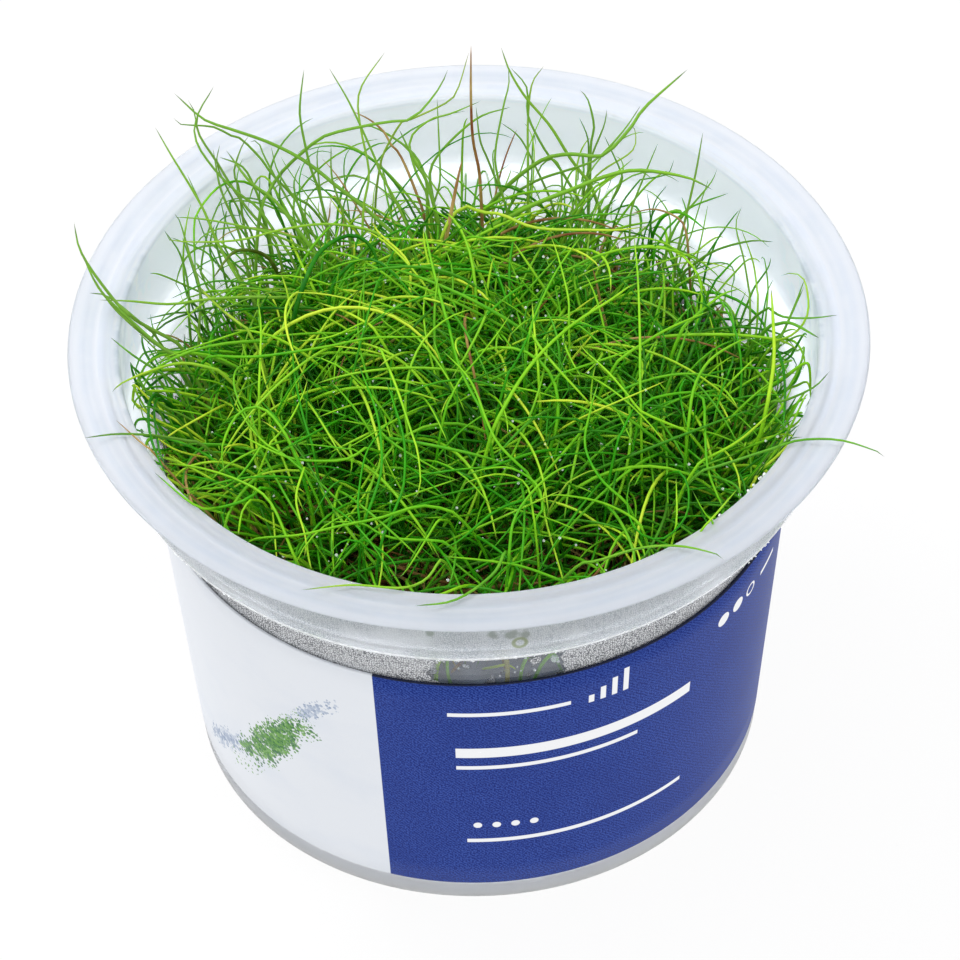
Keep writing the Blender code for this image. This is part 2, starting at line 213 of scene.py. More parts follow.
def turned_faces(rows: int, columns: int) -> Array:
    """Quads of a grid whose columns close on themselves, facing outwards for a profile that runs upwards.

    Args:
        rows: rings along the profile.
        columns: corners round each ring.

    Returns:
        Corner indices, four a row.
    """
    ring = np.arange(rows - 1)[:, None] * columns
    here = np.arange(columns)[None, :]
    after = (here + 1) % columns
    quads = np.stack((ring + here, ring + after, ring + columns + after, ring + columns + here), axis=-1)
    return quads.reshape(-1, 4)


def turned_body(profile: Array, columns: int, relief: Callable | None = None) -> tuple[Array, list[Array]]:
    """A closed body turned from a profile that starts and ends on the axis: (r sin a, -r cos a, z).

    Args:
        profile: radius and height, one pair a row, from the underside's middle outwards and up.
        columns: corners round each ring.
        relief: a function of x, y and z arrays that gives them back moved, or None.

    Returns:
        The corners and the faces.
    """
    angle = 2.0 * math.pi * np.arange(columns) / columns
    rings = profile[1:-1]
    x = rings[:, :1] * np.sin(angle)
    y = -rings[:, :1] * np.cos(angle)
    z = np.repeat(rings[:, 1:], columns, axis=1)
    if relief is not None:
        x, y, z = relief(x, y, z)
    grid = np.stack((x, y, z), axis=-1).reshape(-1, 3)
    poles = np.array([[0.0, 0.0, profile[0, 1]], [0.0, 0.0, profile[-1, 1]]])
    if relief is not None:
        poles = np.stack(relief(poles[:, 0], poles[:, 1], poles[:, 2]), axis=-1)
    low, high = len(grid), len(grid) + 1
    here = np.arange(columns)
    after = (here + 1) % columns
    last = (len(rings) - 1) * columns
    caps = np.concatenate((
        np.stack((np.full(columns, low), after, here), axis=-1),
        np.stack((np.full(columns, high), last + here, last + after), axis=-1),
    ))
    return np.vstack((grid, poles)), [turned_faces(len(rings), columns), caps]


def carried_tubes(paths: Array, radii: Array, sides: int) -> tuple[Array, list[Array]]:
    """Round tubes carried along many paths at once, pointed at both ends.

    A ring's corner is path + radius (u cos a + w sin a), where u is carried along the path without twist.

    Args:
        paths: points of every path, as paths by sections by 3.
        radii: the radius at each section, as paths by sections.
        sides: corners round each ring.

    Returns:
        The corners, path by path, and the faces.
    """
    count, sections, _ = paths.shape
    along = unit(np.gradient(paths, axis=1))
    across = np.empty_like(paths)
    start = np.cross(along[:, 0], np.array([0.31, -0.74, 0.6]))
    across[:, 0] = unit(start)
    for section in range(1, sections):
        kept = across[:, section - 1]
        lean = np.sum(kept * along[:, section], axis=-1, keepdims=True)
        across[:, section] = unit(kept - lean * along[:, section])
    third = np.cross(along, across)
    angle = 2.0 * math.pi * np.arange(sides) / sides
    rings = slice(1, sections - 1)
    corners = (
        paths[:, rings, None, :]
        + radii[:, rings, None, None] * (
            np.cos(angle)[None, None, :, None] * across[:, rings, None, :]
            + np.sin(angle)[None, None, :, None] * third[:, rings, None, :]
        )
    )
    inner = sections - 2
    points = np.concatenate((corners.reshape(count, -1, 3), paths[:, :1], paths[:, -1:]), axis=1)
    size = inner * sides + 2
    quads = turned_faces(inner, sides)
    here = np.arange(sides)
    after = (here + 1) % sides
    ends = np.concatenate((
        np.stack((np.full(sides, inner * sides), after, here), axis=-1),
        np.stack((np.full(sides, inner * sides + 1), (inner - 1) * sides + here,
                  (inner - 1) * sides + after), axis=-1),
    ))
    shift = (np.arange(count) * size)[:, None, None]
    return points.reshape(-1, 3), [(quads[None] + shift).reshape(-1, 4), (ends[None] + shift).reshape(-1, 3)]


# Shader trees

class Nodes:
    """Adds nodes to one shader tree and gives back the sockets that hold their results."""

    def __init__(self, tree: Tree) -> None:
        """Keeps the tree and clears what is in it."""
        self.tree = tree
        tree.nodes.clear()

    def feed(self, socket: Socket, value: Value | Colour) -> None:
        """Links a socket to a result, or sets it to a plain value."""
        if isinstance(value, Socket):
            self.tree.links.new(value, socket)
        elif isinstance(value, tuple) and len(value) == 3 and len(socket.default_value) == 4:
            socket.default_value = (*value, 1.0)
        else:
            socket.default_value = value

    def node(self, kind: str, inputs: dict | None = None, **settings: object) -> bpy.types.Node:
        """One node with its settings, its inputs fed by name or number."""
        made = self.tree.nodes.new(kind)
        for name, value in settings.items():
            setattr(made, name, value)
        for key, value in (inputs or {}).items():
            self.feed(made.inputs[key], value)
        return made

    def place(self) -> Socket:
        """Object coordinates."""
        return self.node("ShaderNodeTexCoord").outputs["Object"]

    def math(self, operation: str, first: Value, second: Value = 0.0, clamp: bool = False) -> Socket:
        """A Math node's result."""
        return self.node("ShaderNodeMath", {0: first, 1: second}, operation=operation,
                         use_clamp=clamp).outputs[0]

    def product(self, *values: Value) -> Socket:
        """All the values multiplied."""
        result = values[0]
        for value in values[1:]:
            result = self.math("MULTIPLY", result, value)
        return result

    def plus(self, first: Value, second: Value) -> Socket:
        """The sum of two values."""
        return self.math("ADD", first, second)

    def less(self, first: Value, second: Value, clamp: bool = False) -> Socket:
        """The first value less the second."""
        return self.math("SUBTRACT", first, second, clamp)

    def flip(self, mask: Value) -> Socket:
        """1 less a mask."""
        return self.less(1.0, mask)

    def square(self, value: Value) -> Socket:
        """A value times itself."""
        return self.math("POWER", value, 2.0)

    def length(self, first: Value, second: Value) -> Socket:
        """The root of the sum of two squares."""
        return self.math("SQRT", self.plus(self.square(first), self.square(second)))

    def step(self, value: Value, low: Value, high: Value, to_low: Value = 0.0,
             to_high: Value = 1.0) -> Socket:
        """A smooth step of a value between two limits."""
        inputs = {"Value": value, "From Min": low, "From Max": high, "To Min": to_low, "To Max": to_high}
        return self.node("ShaderNodeMapRange", inputs, interpolation_type="SMOOTHSTEP").outputs[0]

    def blend(self, mask: Value, at_none: Value, at_full: Value) -> Socket:
        """A value that goes smoothly from one to another as a mask goes from 0 to 1."""
        return self.step(mask, 0.0, 1.0, at_none, at_full)

    def between(self, value: Value, low: float, high: float, edge: float) -> Socket:
        """1 between two limits and 0 outside them, with soft edges."""
        return self.product(self.step(value, low - edge, low + edge),
                            self.step(value, high - edge, high + edge, 1.0, 0.0))

    def mix(self, share: Value, first: Value | Colour, second: Value | Colour, blend: str = "MIX") -> Socket:
        """Two colours mixed."""
        made = self.node("ShaderNodeMix", data_type="RGBA", blend_type=blend)
        for number, value in ((0, share), (6, first), (7, second)):
            self.feed(made.inputs[number], value)
        return made.outputs[2]

    def ramp(self, share: Value, stops: tuple[tuple[float, Colour], ...]) -> Socket:
        """A colour ramp over a share from 0 to 1."""
        made = self.node("ShaderNodeValToRGB", {0: share})
        while len(made.color_ramp.elements) < len(stops):
            made.color_ramp.elements.new(0.5)
        for element, (place, colour) in zip(made.color_ramp.elements, stops):
            element.position = place
            element.color = (*colour, 1.0)
        return made.outputs[0]

    def noise(self, vector: Socket, scale: Value, detail: float = 2.0) -> Socket:
        """Noise from 0 to 1."""
        return self.node("ShaderNodeTexNoise",
                         {"Vector": vector, "Scale": scale, "Detail": detail}).outputs[0]

    def placed(self, vector: Socket, scale: Triple, turn: Triple = (0.0, 0.0, 0.0)) -> Socket:
        """A vector turned and scaled by a Mapping node."""
        inputs = {"Vector": vector, "Scale": scale, "Rotation": turn}
        return self.node("ShaderNodeMapping", inputs).outputs[0]

    def split(self, vector: Socket) -> list[Socket]:
        """The three parts of a vector."""
        return self.node("ShaderNodeSeparateXYZ", {0: vector}).outputs[:3]

    def bump(self, height: Socket, strength: float, distance: float) -> Socket:
        """A normal raised by a height."""
        return self.node("ShaderNodeBump",
                         {"Height": height, "Strength": strength, "Distance": distance}).outputs[0]

    def group(self, tree: Tree, **values: Value) -> dict[str, Socket]:
        """A shared effect with its own values; spaces in a socket's name are written as underscores."""
        made = self.node("ShaderNodeGroup", node_tree=tree)
        for name, value in values.items():
            self.feed(made.inputs[name.replace("_", " ")], value)
        return {socket.name: socket for socket in made.outputs}

    def principled(self, **values: Value | Colour) -> None:
        """The Principled shader and the output that it feeds."""
        inputs = {name.replace("_", " "): value for name, value in values.items()}
        shader = self.node("ShaderNodeBsdfPrincipled", inputs)
        self.node("ShaderNodeOutputMaterial", {"Surface": shader.outputs[0]})


def material_nodes(name: str) -> tuple[Material, Nodes]:
    """A new material with an empty tree, whose glow isn't sampled as a lamp, to save time."""
    material = bpy.data.materials.new(name)
    material.use_nodes = True
    material.cycles.emission_sampling = "NONE"
    return material, Nodes(material.node_tree)


class SharedEffects:
    """The node groups that more than one place uses."""

    FLOAT = "NodeSocketFloat"
    VECTOR = "NodeSocketVector"

    def __init__(self) -> None:
        """Builds every group once."""
        self.mottle = self.build_mottle()
        self.beads = self.build_beads()
        self.bar = self.build_bar()
        self.dot = self.build_dot()
        self.dabs = self.build_dabs()

    def start(self, name: str, inputs: dict[str, str],
              outputs: tuple[str, ...]) -> tuple[Tree, Nodes, dict[str, Socket]]:
        """An empty group with its named sockets.

        Args:
            name: the group's name.
            inputs: the kind of each input by name.
            outputs: names of the number outputs.

        Returns:
            The tree, its nodes, and the sockets of the inputs by name.
        """
        tree = bpy.data.node_groups.new(name, "ShaderNodeTree")
        nodes = Nodes(tree)
        for label, kind in inputs.items():
            tree.interface.new_socket(name=label, in_out="INPUT", socket_type=kind)
        for label in outputs:
            tree.interface.new_socket(name=label, in_out="OUTPUT", socket_type=self.FLOAT)
        entry = nodes.node("NodeGroupInput")
        return tree, nodes, {label: entry.outputs[label] for label in inputs}

    def build_mottle(self) -> Tree:
        """Soft patches: two noises, one four times finer, stretched to full contrast."""
        tree, nodes, given = self.start("soft_mottle", {"Vector": self.VECTOR, "Scale": self.FLOAT},
                                        ("Mask",))
        coarse = nodes.noise(given["Vector"], given["Scale"], 3.0)
        fine = nodes.noise(given["Vector"], nodes.product(given["Scale"], 4.1), 2.0)
        both = nodes.plus(nodes.product(coarse, 0.65), nodes.product(fine, 0.35))
        nodes.node("NodeGroupOutput", {"Mask": nodes.step(both, 0.32, 0.68)})
        return tree

    def build_beads(self) -> Tree:
        """Condensation: close-packed round beads, domed over each cell and parted by gaps."""
        inputs = {"Vector": self.VECTOR, "Scale": self.FLOAT, "Gap": self.FLOAT}
        tree, nodes, given = self.start("condensed_beads", inputs, ("Height", "Mask"))
        placed = {"Vector": given["Vector"], "Scale": given["Scale"], "Randomness": 0.85}
        cells = nodes.node("ShaderNodeTexVoronoi", dict(placed))
        gaps = nodes.node("ShaderNodeTexVoronoi", dict(placed),
                          feature="DISTANCE_TO_EDGE").outputs["Distance"]
        dome = nodes.less(1.0, nodes.square(cells.outputs["Distance"]), clamp=True)
        inside = nodes.step(nodes.less(gaps, given["Gap"]), 0.0, 0.10)
        nodes.node("NodeGroupOutput", {"Height": nodes.product(nodes.math("SQRT", dome), inside),
                                       "Mask": inside})
        return tree

    def build_bar(self) -> Tree:
        """A printed upright rectangle on the unrolled band."""
        names = ("U", "V", "Centre U", "Centre V", "Half Width", "Half Height")
        tree, nodes, given = self.start("printed_bar", {name: self.FLOAT for name in names}, ("Mask",))
        masks = []
        for axis, half in (("U", "Half Width"), ("V", "Half Height")):
            offset = nodes.math("ABSOLUTE", nodes.less(given[axis], given[f"Centre {axis}"]))
            masks.append(nodes.step(nodes.less(given[half], offset), -0.04, 0.04))
        nodes.node("NodeGroupOutput", {"Mask": nodes.product(*masks)})
        return tree

    def build_dot(self) -> Tree:
        """A printed round dot, or a ring where its line is thinner than its radius."""
        names = ("U", "V", "Centre U", "Centre V", "Radius", "Line")
        tree, nodes, given = self.start("printed_dot", {name: self.FLOAT for name in names}, ("Mask",))
        offsets = [nodes.less(given[axis], given[f"Centre {axis}"]) for axis in ("U", "V")]
        inward = nodes.less(given["Radius"], nodes.length(*offsets))
        filled = nodes.step(inward, -0.04, 0.04)
        hole = nodes.step(nodes.less(inward, given["Line"]), -0.04, 0.04, 1.0, 0.0)
        nodes.node("NodeGroupOutput", {"Mask": nodes.product(filled, hole)})
        return tree

    def build_dabs(self) -> Tree:
        """Painted dabs: small round spots, larger and closer towards the middle of a leaning oval patch."""
        names = {name: self.FLOAT for name in ("U", "V", "Centre U", "Centre V", "Half Width",
                                               "Half Height", "Rise", "Fine")}
        tree, nodes, given = self.start("painted_dabs", names, ("Mask", "Shade"))
        aside = nodes.less(given["U"], given["Centre U"])
        up = nodes.less(nodes.less(given["V"], given["Centre V"]),
                        nodes.product(aside, given["Rise"]))
        across = nodes.square(nodes.math("DIVIDE", aside, given["Half Width"]))
        along = nodes.square(nodes.math("DIVIDE", up, given["Half Height"]))
        place = nodes.node("ShaderNodeCombineXYZ",
                           {0: given["U"], 1: given["V"], 2: given["Centre U"]}).outputs[0]
        ragged = nodes.product(nodes.noise(place, 0.35, 3.0), 1.6)
        body = nodes.less(nodes.plus(0.2, ragged), nodes.plus(across, along), clamp=True)
        cells = nodes.node("ShaderNodeTexVoronoi", {"Vector": place, "Scale": given["Fine"]})
        room = nodes.less(nodes.product(body, 0.75), cells.outputs["Distance"])
        shade = nodes.node("ShaderNodeSeparateColor", {0: cells.outputs["Color"]}).outputs[0]
        nodes.node("NodeGroupOutput", {"Mask": nodes.step(room, -0.06, 0.06), "Shade": shade})
        return tree


@dataclass(frozen=True)
class PhotoCamera:
    """The camera fitted to the photograph's rim, band and foot."""

    target: Triple = (0.914 * MM, 0.0, 39.01 * MM)
    distance: float = 1.0
    elevation: float = math.radians(45.86)
    roll: float = math.radians(-1.632)
    focal_pixels: float = 7880.386
    sensor_mm: float = 36.0

    def axes(self) -> tuple[Array, Array, Array]:
        """The image's right and up directions, and the direction of view."""
        up = np.array([0.0, math.sin(self.elevation), math.cos(self.elevation)])
        right = np.array([1.0, 0.0, 0.0])
        ahead = np.array([0.0, math.cos(self.elevation), -math.sin(self.elevation)])
        cosine, sine = math.cos(self.roll), math.sin(self.roll)
        return cosine * right + sine * up, cosine * up - sine * right, ahead

    def place(self) -> Array:
        """Where the camera stands."""
        return np.array(self.target) - self.distance * self.axes()[2]

    def at_height(self, pixels: Array, heights: Array) -> Array:
        """The points that pixels of the photograph show, for known heights.

        Args:
            pixels: columns and rows of the photograph, one pair a row.
            heights: height above the cup's underside for each.

        Returns:
            Points in the frame, where each pixel's ray meets its height.
        """
        right, up, ahead = self.axes()
        middle = IMAGE_SIZE / 2.0
        rays = self.focal_pixels * ahead + (pixels[:, :1] - middle) * right + (middle - pixels[:, 1:]) * up
        start = self.place()
        return start + rays * ((heights - start[2]) / rays[:, 2])[:, None]

    def build(self) -> None:
        """The Blender camera, made the scene's own."""
        data = bpy.data.cameras.new("photo_camera")
        data.sensor_width = self.sensor_mm
        data.lens = self.focal_pixels * self.sensor_mm / IMAGE_SIZE
        data.clip_start = 0.1
        data.clip_end = 10.0
        camera = bpy.data.objects.new("photo_camera", data)
        right, up, ahead = self.axes()
        turn = Matrix((right, up, -ahead)).transposed().to_4x4()
        camera.matrix_world = Matrix.Translation(Vector(self.place())) @ turn
        bpy.context.scene.collection.objects.link(camera)
        bpy.context.scene.camera = camera


@dataclass(frozen=True)
class SoftBox:
    """One square area light that looks at the clump."""

    name: str
    place: Triple
    size: float
    brightness: float

    def build(self, target: Triple) -> None:
        """Lights the target so that a white sheet facing the lamp would gain the brightness."""
        lamp = bpy.data.lights.new(self.name, "AREA")
        lamp.size = self.size
        away = Vector(self.place) - Vector(target)
        lamp.energy = self.brightness * math.pi**2 * away.length_squared
        holder = bpy.data.objects.new(self.name, lamp)
        turn = away.to_track_quat("Z", "Y").to_matrix().to_4x4()
        holder.matrix_world = Matrix.Translation(Vector(self.place)) @ turn
        bpy.context.scene.collection.objects.link(holder)


@dataclass(frozen=True)
class Studio:
    """A white room: soft light from all round, two soft boxes and a pale floor."""

    target: Triple = (0.0, 0.0, 50.0 * MM)
    room_light: float = 0.90
    floor_half: float = 3.0
    floor_glow: float = 0.93
    bounces: int = 8
    soft_bounces: int = 3
    curve: Triple = (0.9, 1.6, 3.2)
    sink: float = 0.05 * MM
    boxes: tuple[SoftBox, ...] = (
        SoftBox("key_soft_box", (-0.42, 0.28, 0.85), 0.30, 0.42),
        SoftBox("top_soft_box", (0.25, -0.10, 1.0), 0.7, 0.10),
    )

    def build(self) -> None:
        """The room, its lamps and the floor."""
        scene = bpy.context.scene
        scene.view_settings.view_transform = "Standard"
        scene.cycles.max_bounces = self.bounces
        scene.cycles.transmission_bounces = self.bounces - 2
        scene.cycles.diffuse_bounces = self.soft_bounces
        scene.cycles.glossy_bounces = self.soft_bounces
        world = bpy.data.worlds.new("white_room")
        world.use_nodes = True
        scene.world = world
        nodes = Nodes(world.node_tree)
        path = nodes.node("ShaderNodeLightPath").outputs
        seen = nodes.math("MAXIMUM", path["Is Camera Ray"], path["Is Transmission Ray"])
        strength = nodes.blend(seen, self.room_light, 1.0)
        room = nodes.node("ShaderNodeBackground", {"Color": (1.0, 1.0, 1.0), "Strength": strength})
        nodes.node("ShaderNodeOutputWorld", {"Surface": room.outputs[0]})
        for box in self.boxes:
            box.build(self.target)
        self.build_floor()

    def build_floor(self) -> None:
        """The pale floor: a sheet just under the cup that curves up far behind it, between two places."""
        across = np.linspace(-self.floor_half, self.floor_half, 9)
        back = np.linspace(-self.floor_half, self.floor_half, 25)
        x, y = np.meshgrid(across, back)
        rise, start, end = self.curve
        z = rise * smooth(y, start, end) - self.sink
        points = np.stack((x, y, z), axis=-1).reshape(-1, 3)
        row = np.arange(len(back) - 1)[:, None] * len(across)
        here = np.arange(len(across) - 1)[None, :]
        quads = np.stack((row + here, row + here + 1, row + len(across) + here + 1,
                          row + len(across) + here), axis=-1)
        material, nodes = material_nodes("pale_floor")
        tint = nodes.mix(nodes.noise(nodes.place(), 6.0), (0.95, 0.95, 0.95), (0.97, 0.97, 0.97))
        glow = nodes.node("ShaderNodeEmission", {"Color": (1.0, 1.0, 1.0), "Strength": 1.0})
        paper = nodes.node("ShaderNodeBsdfDiffuse", {"Color": tint})
        both = nodes.node("ShaderNodeMixShader",
                          {0: self.floor_glow, 1: paper.outputs[0], 2: glow.outputs[0]})
        nodes.node("ShaderNodeOutputMaterial", {"Surface": both.outputs[0]})
        make_piece("pale_floor", points, [quads.reshape(-1, 4)], material)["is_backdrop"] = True


# Finishes

@dataclass(frozen=True)
class MilkyPlasticFinish:
    """Translucent moulded plastic: satin, with rings from the mould, and a painted glow on its inside."""

    milk: Colour = (0.915, 0.942, 0.990)
    shade: Colour = (0.835, 0.875, 0.945)
    wet: Colour = (0.52, 0.60, 0.68)
    # Painted shade at the foot, where the cup stands on the floor.
    foot: Colour = (0.80, 0.80, 0.79)
    clear: float = 0.64
    satin: float = 0.42
    # Strengths of the painted glow inside: higher up, low down, and by the rim's hole.
    glow: float = 0.19
    low_glow: float = 0.34
    rim_glow: float = 0.06

    def rim_bands_and_painted_highlights(self, nodes: Nodes, place: Socket, radius: Socket, milk: Socket) -> Socket:
        """The rim's flat rings: a painted highlight line by its inner edge, then two bluish rings between
        pale ones.

        Args:
            nodes: the material's nodes.
            place: object coordinates.
            radius: distance from the axis.
            milk: the plastic's colour.

        Returns:
            The colour with the rings on it, broken up by streaks.
        """
        share = nodes.math("DIVIDE", nodes.less(radius, 43.4 * MM), 6.6 * MM, clamp=True)
        white = (1.0, 1.0, 1.0)
        # Painted light in the ramp: a greenish painted reflection of the grass at the inner edge, and white
        # painted highlights.
        bands = nodes.ramp(share, (
            (0.0, (0.93, 0.96, 0.95)), (0.10, (0.90, 0.94, 0.93)), (0.13, white), (0.17, white),
            (0.20, (0.93, 0.95, 0.98)), (0.42, (0.94, 0.96, 0.99)), (0.47, white), (0.52, white),
            (0.56, (0.93, 0.95, 0.97)), (0.74, (0.94, 0.96, 0.98)), (0.84, white), (1.0, white)))
        streaks = nodes.step(nodes.noise(place, 260.0, 3.0), 0.40, 0.62, 1.0, 0.35)
        on_rim = nodes.product(nodes.step(radius, 43.2 * MM, 43.5 * MM), streaks)
        return nodes.mix(on_rim, milk, nodes.mix(1.0, milk, bands, "MULTIPLY"))

    def painted_through_glow(self, nodes: Nodes, radius: Socket, y: Socket, z: Socket) -> Socket:
        """Painted glow on the inside, for light through the back and the sides, and a little by the rim's
        hole.

        Args:
            nodes: the material's nodes.
            radius: distance from the axis.
            y: place from front to back.
            z: height.

        Returns:
            The strength of the glow.
        """
        taper = nodes.less(radius, nodes.product(z, WALL_TAPER))
        low_wall = nodes.product(nodes.step(taper, 35.1 * MM, 35.3 * MM, 1.0, 0.0),
                                 nodes.step(z, 42.0 * MM, 45.0 * MM),
                                 nodes.step(y, -3.0 * MM, 14.0 * MM))
        collar = nodes.product(nodes.step(radius, 43.5 * MM, 43.7 * MM, 1.0, 0.0),
                               nodes.step(z, 52.3 * MM, 52.6 * MM))
        strength = nodes.step(z, 45.0 * MM, 58.0 * MM, self.low_glow, self.glow)
        inside = nodes.product(nodes.math("MAXIMUM", low_wall, collar), strength)
        inner_rim = nodes.product(nodes.step(z, 64.2 * MM, 64.5 * MM),
                                  nodes.step(radius, 44.6 * MM, 47.4 * MM, 1.0, 0.0))
        return nodes.plus(inside, nodes.product(inner_rim, self.rim_glow))

    def build(self, effects: SharedEffects) -> Material:
        """The material of the rim, the foot and the wall behind the band."""
        material, nodes = material_nodes("milky_plastic")
        place = nodes.place()
        x, y, z = nodes.split(place)
        radius = nodes.length(x, y)
        mottle = nodes.group(effects.mottle, Vector=place, Scale=55.0)["Mask"]
        rings = nodes.noise(nodes.node("ShaderNodeCombineXYZ", {0: radius}).outputs[0], 900.0, 2.0)
        milk = nodes.mix(nodes.step(rings, 0.35, 0.65), self.milk, self.shade)
        milk = nodes.mix(nodes.product(mottle, 0.35), milk, self.shade)
        milk = self.rim_bands_and_painted_highlights(nodes, place, radius, milk)
        at_side = nodes.step(nodes.math("ABSOLUTE", x), 38.0 * MM, 42.0 * MM)
        drips = nodes.step(nodes.noise(place, 330.0, 3.0), 0.40, 0.60)
        milk = nodes.mix(nodes.product(at_side, drips,
                                       nodes.between(radius, 42.8 * MM, 44.3 * MM, 0.4 * MM), 0.75),
                         milk, self.wet)
        # Painted shade: the plastic darkens towards the underside.
        milk = nodes.mix(nodes.step(z, 0.0, 1.6 * MM, 0.8, 0.0), milk, self.foot)
        rough = nodes.plus(self.satin, nodes.product(mottle, 0.06))
        # The emission is a painted glow that stands in for light through the wall.
        nodes.principled(
            Base_Color=milk, Roughness=rough, IOR=PLASTIC_IOR, Transmission_Weight=self.clear,
            Emission_Color=(0.93, 0.955, 1.0), Emission_Strength=self.painted_through_glow(nodes, radius, y, z),
            Normal=nodes.bump(rings, 0.08, 0.12 * MM))
        return material


def in_front(nodes: Nodes, y: Socket) -> Socket:
    """1 by the middle of the cup's front and 0 elsewhere."""
    return nodes.step(y, -31.0 * MM, -29.0 * MM, 1.0, 0.0)


def at_sides(nodes: Nodes, y: Socket) -> Socket:
    """0 in the cup's front and 1 from its sides backwards."""
    return nodes.step(y, -16.0 * MM, -4.0 * MM)


def thickly_beaded(nodes: Nodes, place: Socket, least: float) -> Socket:
    """Patches of thicker beads, from a least share to 1."""
    return nodes.step(nodes.noise(place, 130.0, 3.0), 0.34, 0.56, least, 1.0)


@dataclass(frozen=True)
class MistedCollarFinish:
    """The collar's outside: finely beaded, painted shade under the rim, a wet foot line with a painted
    highlight.

    Growth that touches its inside is painted as soft dark painted shadows and one small olive painted loop,
    the shadow
    of a curled blade: each shadow is a place across, a height, half a width and half a height in millimetres.
    """

    light: Colour = (0.90, 0.93, 0.975)
    dark: Colour = (0.42, 0.47, 0.53)
    # Colour of the wet foot line's painted highlight and of its glowing painted glints.
    line: Colour = (0.97, 0.985, 1.0)
    # Colours of the painted blade shadows and of the painted loop.
    blade_shadow: Colour = (0.26, 0.31, 0.27)
    olive: Colour = (0.27, 0.34, 0.12)
    clear: float = 0.52
    bead_scale: float = 3700.0
    gap: float = 0.05
    contrast: float = 0.78
    painted_glint_glow: float = 0.16
    blade_shadows: tuple[tuple[float, float, float, float], ...] = (
        (-5.7, 58.3, 0.8, 0.8), (1.9, 58.1, 0.9, 1.1), (4.3, 57.9, 1.4, 0.9), (5.9, 57.6, 0.8, 1.1))
    painted_loop: tuple[float, float, float, float] = (5.2, 56.2, 0.78, 0.30)

    def reach(self, nodes: Nodes, x: Socket, z: Socket, place: tuple[float, float, float, float]) -> Socket:
        """Distance over the wall from one place, counted in the place's own half sizes."""
        across, height, half, tall = place
        aside = nodes.math("DIVIDE", nodes.less(x, across * MM), half * MM)
        up = nodes.math("DIVIDE", nodes.less(z, height * MM), tall * MM)
        return nodes.length(aside, up)

    def build(self, effects: SharedEffects, milky: MilkyPlasticFinish, foot: float, top: float) -> Material:
        """The material of the collar, which turns into the milky one at the sides.

        Args:
            effects: the shared node groups.
            milky: the finish at the sides.
            foot: height of the collar's foot.
            top: height of the rim's underside.

        Returns:
            The material.
        """
        material, nodes = material_nodes("misted_collar")
        place = nodes.place()
        x, y, z = nodes.split(place)
        fine = nodes.group(effects.beads, Vector=place, Scale=self.bead_scale, Gap=self.gap)
        patches = thickly_beaded(nodes, place, 0.30)
        gaps = nodes.product(nodes.flip(fine["Mask"]), patches, self.contrast)
        colour = nodes.mix(gaps, self.light, self.dark)
        streaks = nodes.noise(nodes.placed(place, (260.0, 260.0, 60.0)), 1.0, 3.0)
        # Painted shade under the rim, broken by streaks.
        shadow = nodes.step(z, top - 3.4 * MM, top - 0.8 * MM)
        under_rim = nodes.product(shadow, nodes.step(streaks, 0.35, 0.65, 0.20, 0.58))
        colour = nodes.mix(under_rim, colour, self.dark)
        ragged = nodes.product(nodes.less(nodes.noise(place, 900.0, 2.0), 0.5), 1.2)
        front = in_front(nodes, y)
        # Painted shadows of blades that touch the inside.
        for blade_shadow in self.blade_shadows:
            inward = nodes.step(nodes.plus(self.reach(nodes, x, z, blade_shadow), ragged), 0.35, 1.0, 0.75, 0.0)
            colour = nodes.mix(nodes.product(inward, front), colour, self.blade_shadow)
        # The painted loop: the olive painted shadow of a curled blade.
        across, height, half, line = self.painted_loop
        inward = nodes.less(self.reach(nodes, x, z, (across, height, half, half)), 1.0)
        off_line = nodes.math("ABSOLUTE", inward)
        ring = nodes.step(off_line, 0.35 * line / half, 1.2 * line / half, 0.85, 0.0)
        colour = nodes.mix(nodes.product(ring, front), colour, self.olive)
        # The wet line at the foot: lower roughness, a painted highlight in its colour, and painted glints
        # that glow.
        wet_line_and_painted_highlight = nodes.step(z, foot + 0.75 * MM, foot + 0.95 * MM, 1.0, 0.0)
        drops = nodes.step(nodes.noise(place, 1500.0, 2.0), 0.40, 0.55, 0.45, 1.0)
        painted_glints = nodes.product(nodes.between(z, foot + 0.45 * MM, foot + 0.85 * MM, 0.08 * MM), drops)
        colour = nodes.mix(nodes.product(wet_line_and_painted_highlight, 0.9), colour, self.line)
        aside = at_sides(nodes, y)
        colour = nodes.mix(aside, colour, milky.milk)
        rough = nodes.blend(wet_line_and_painted_highlight, 0.30, 0.15)
        nodes.principled(
            Base_Color=colour, Roughness=nodes.blend(aside, rough, milky.satin), IOR=PLASTIC_IOR,
            Transmission_Weight=nodes.blend(aside, self.clear, milky.clear),
            Emission_Color=self.line, Emission_Strength=nodes.product(painted_glints, self.painted_glint_glow),
            Normal=nodes.bump(nodes.product(fine["Height"], patches, nodes.flip(aside)), *BEAD_BUMP))
        return material


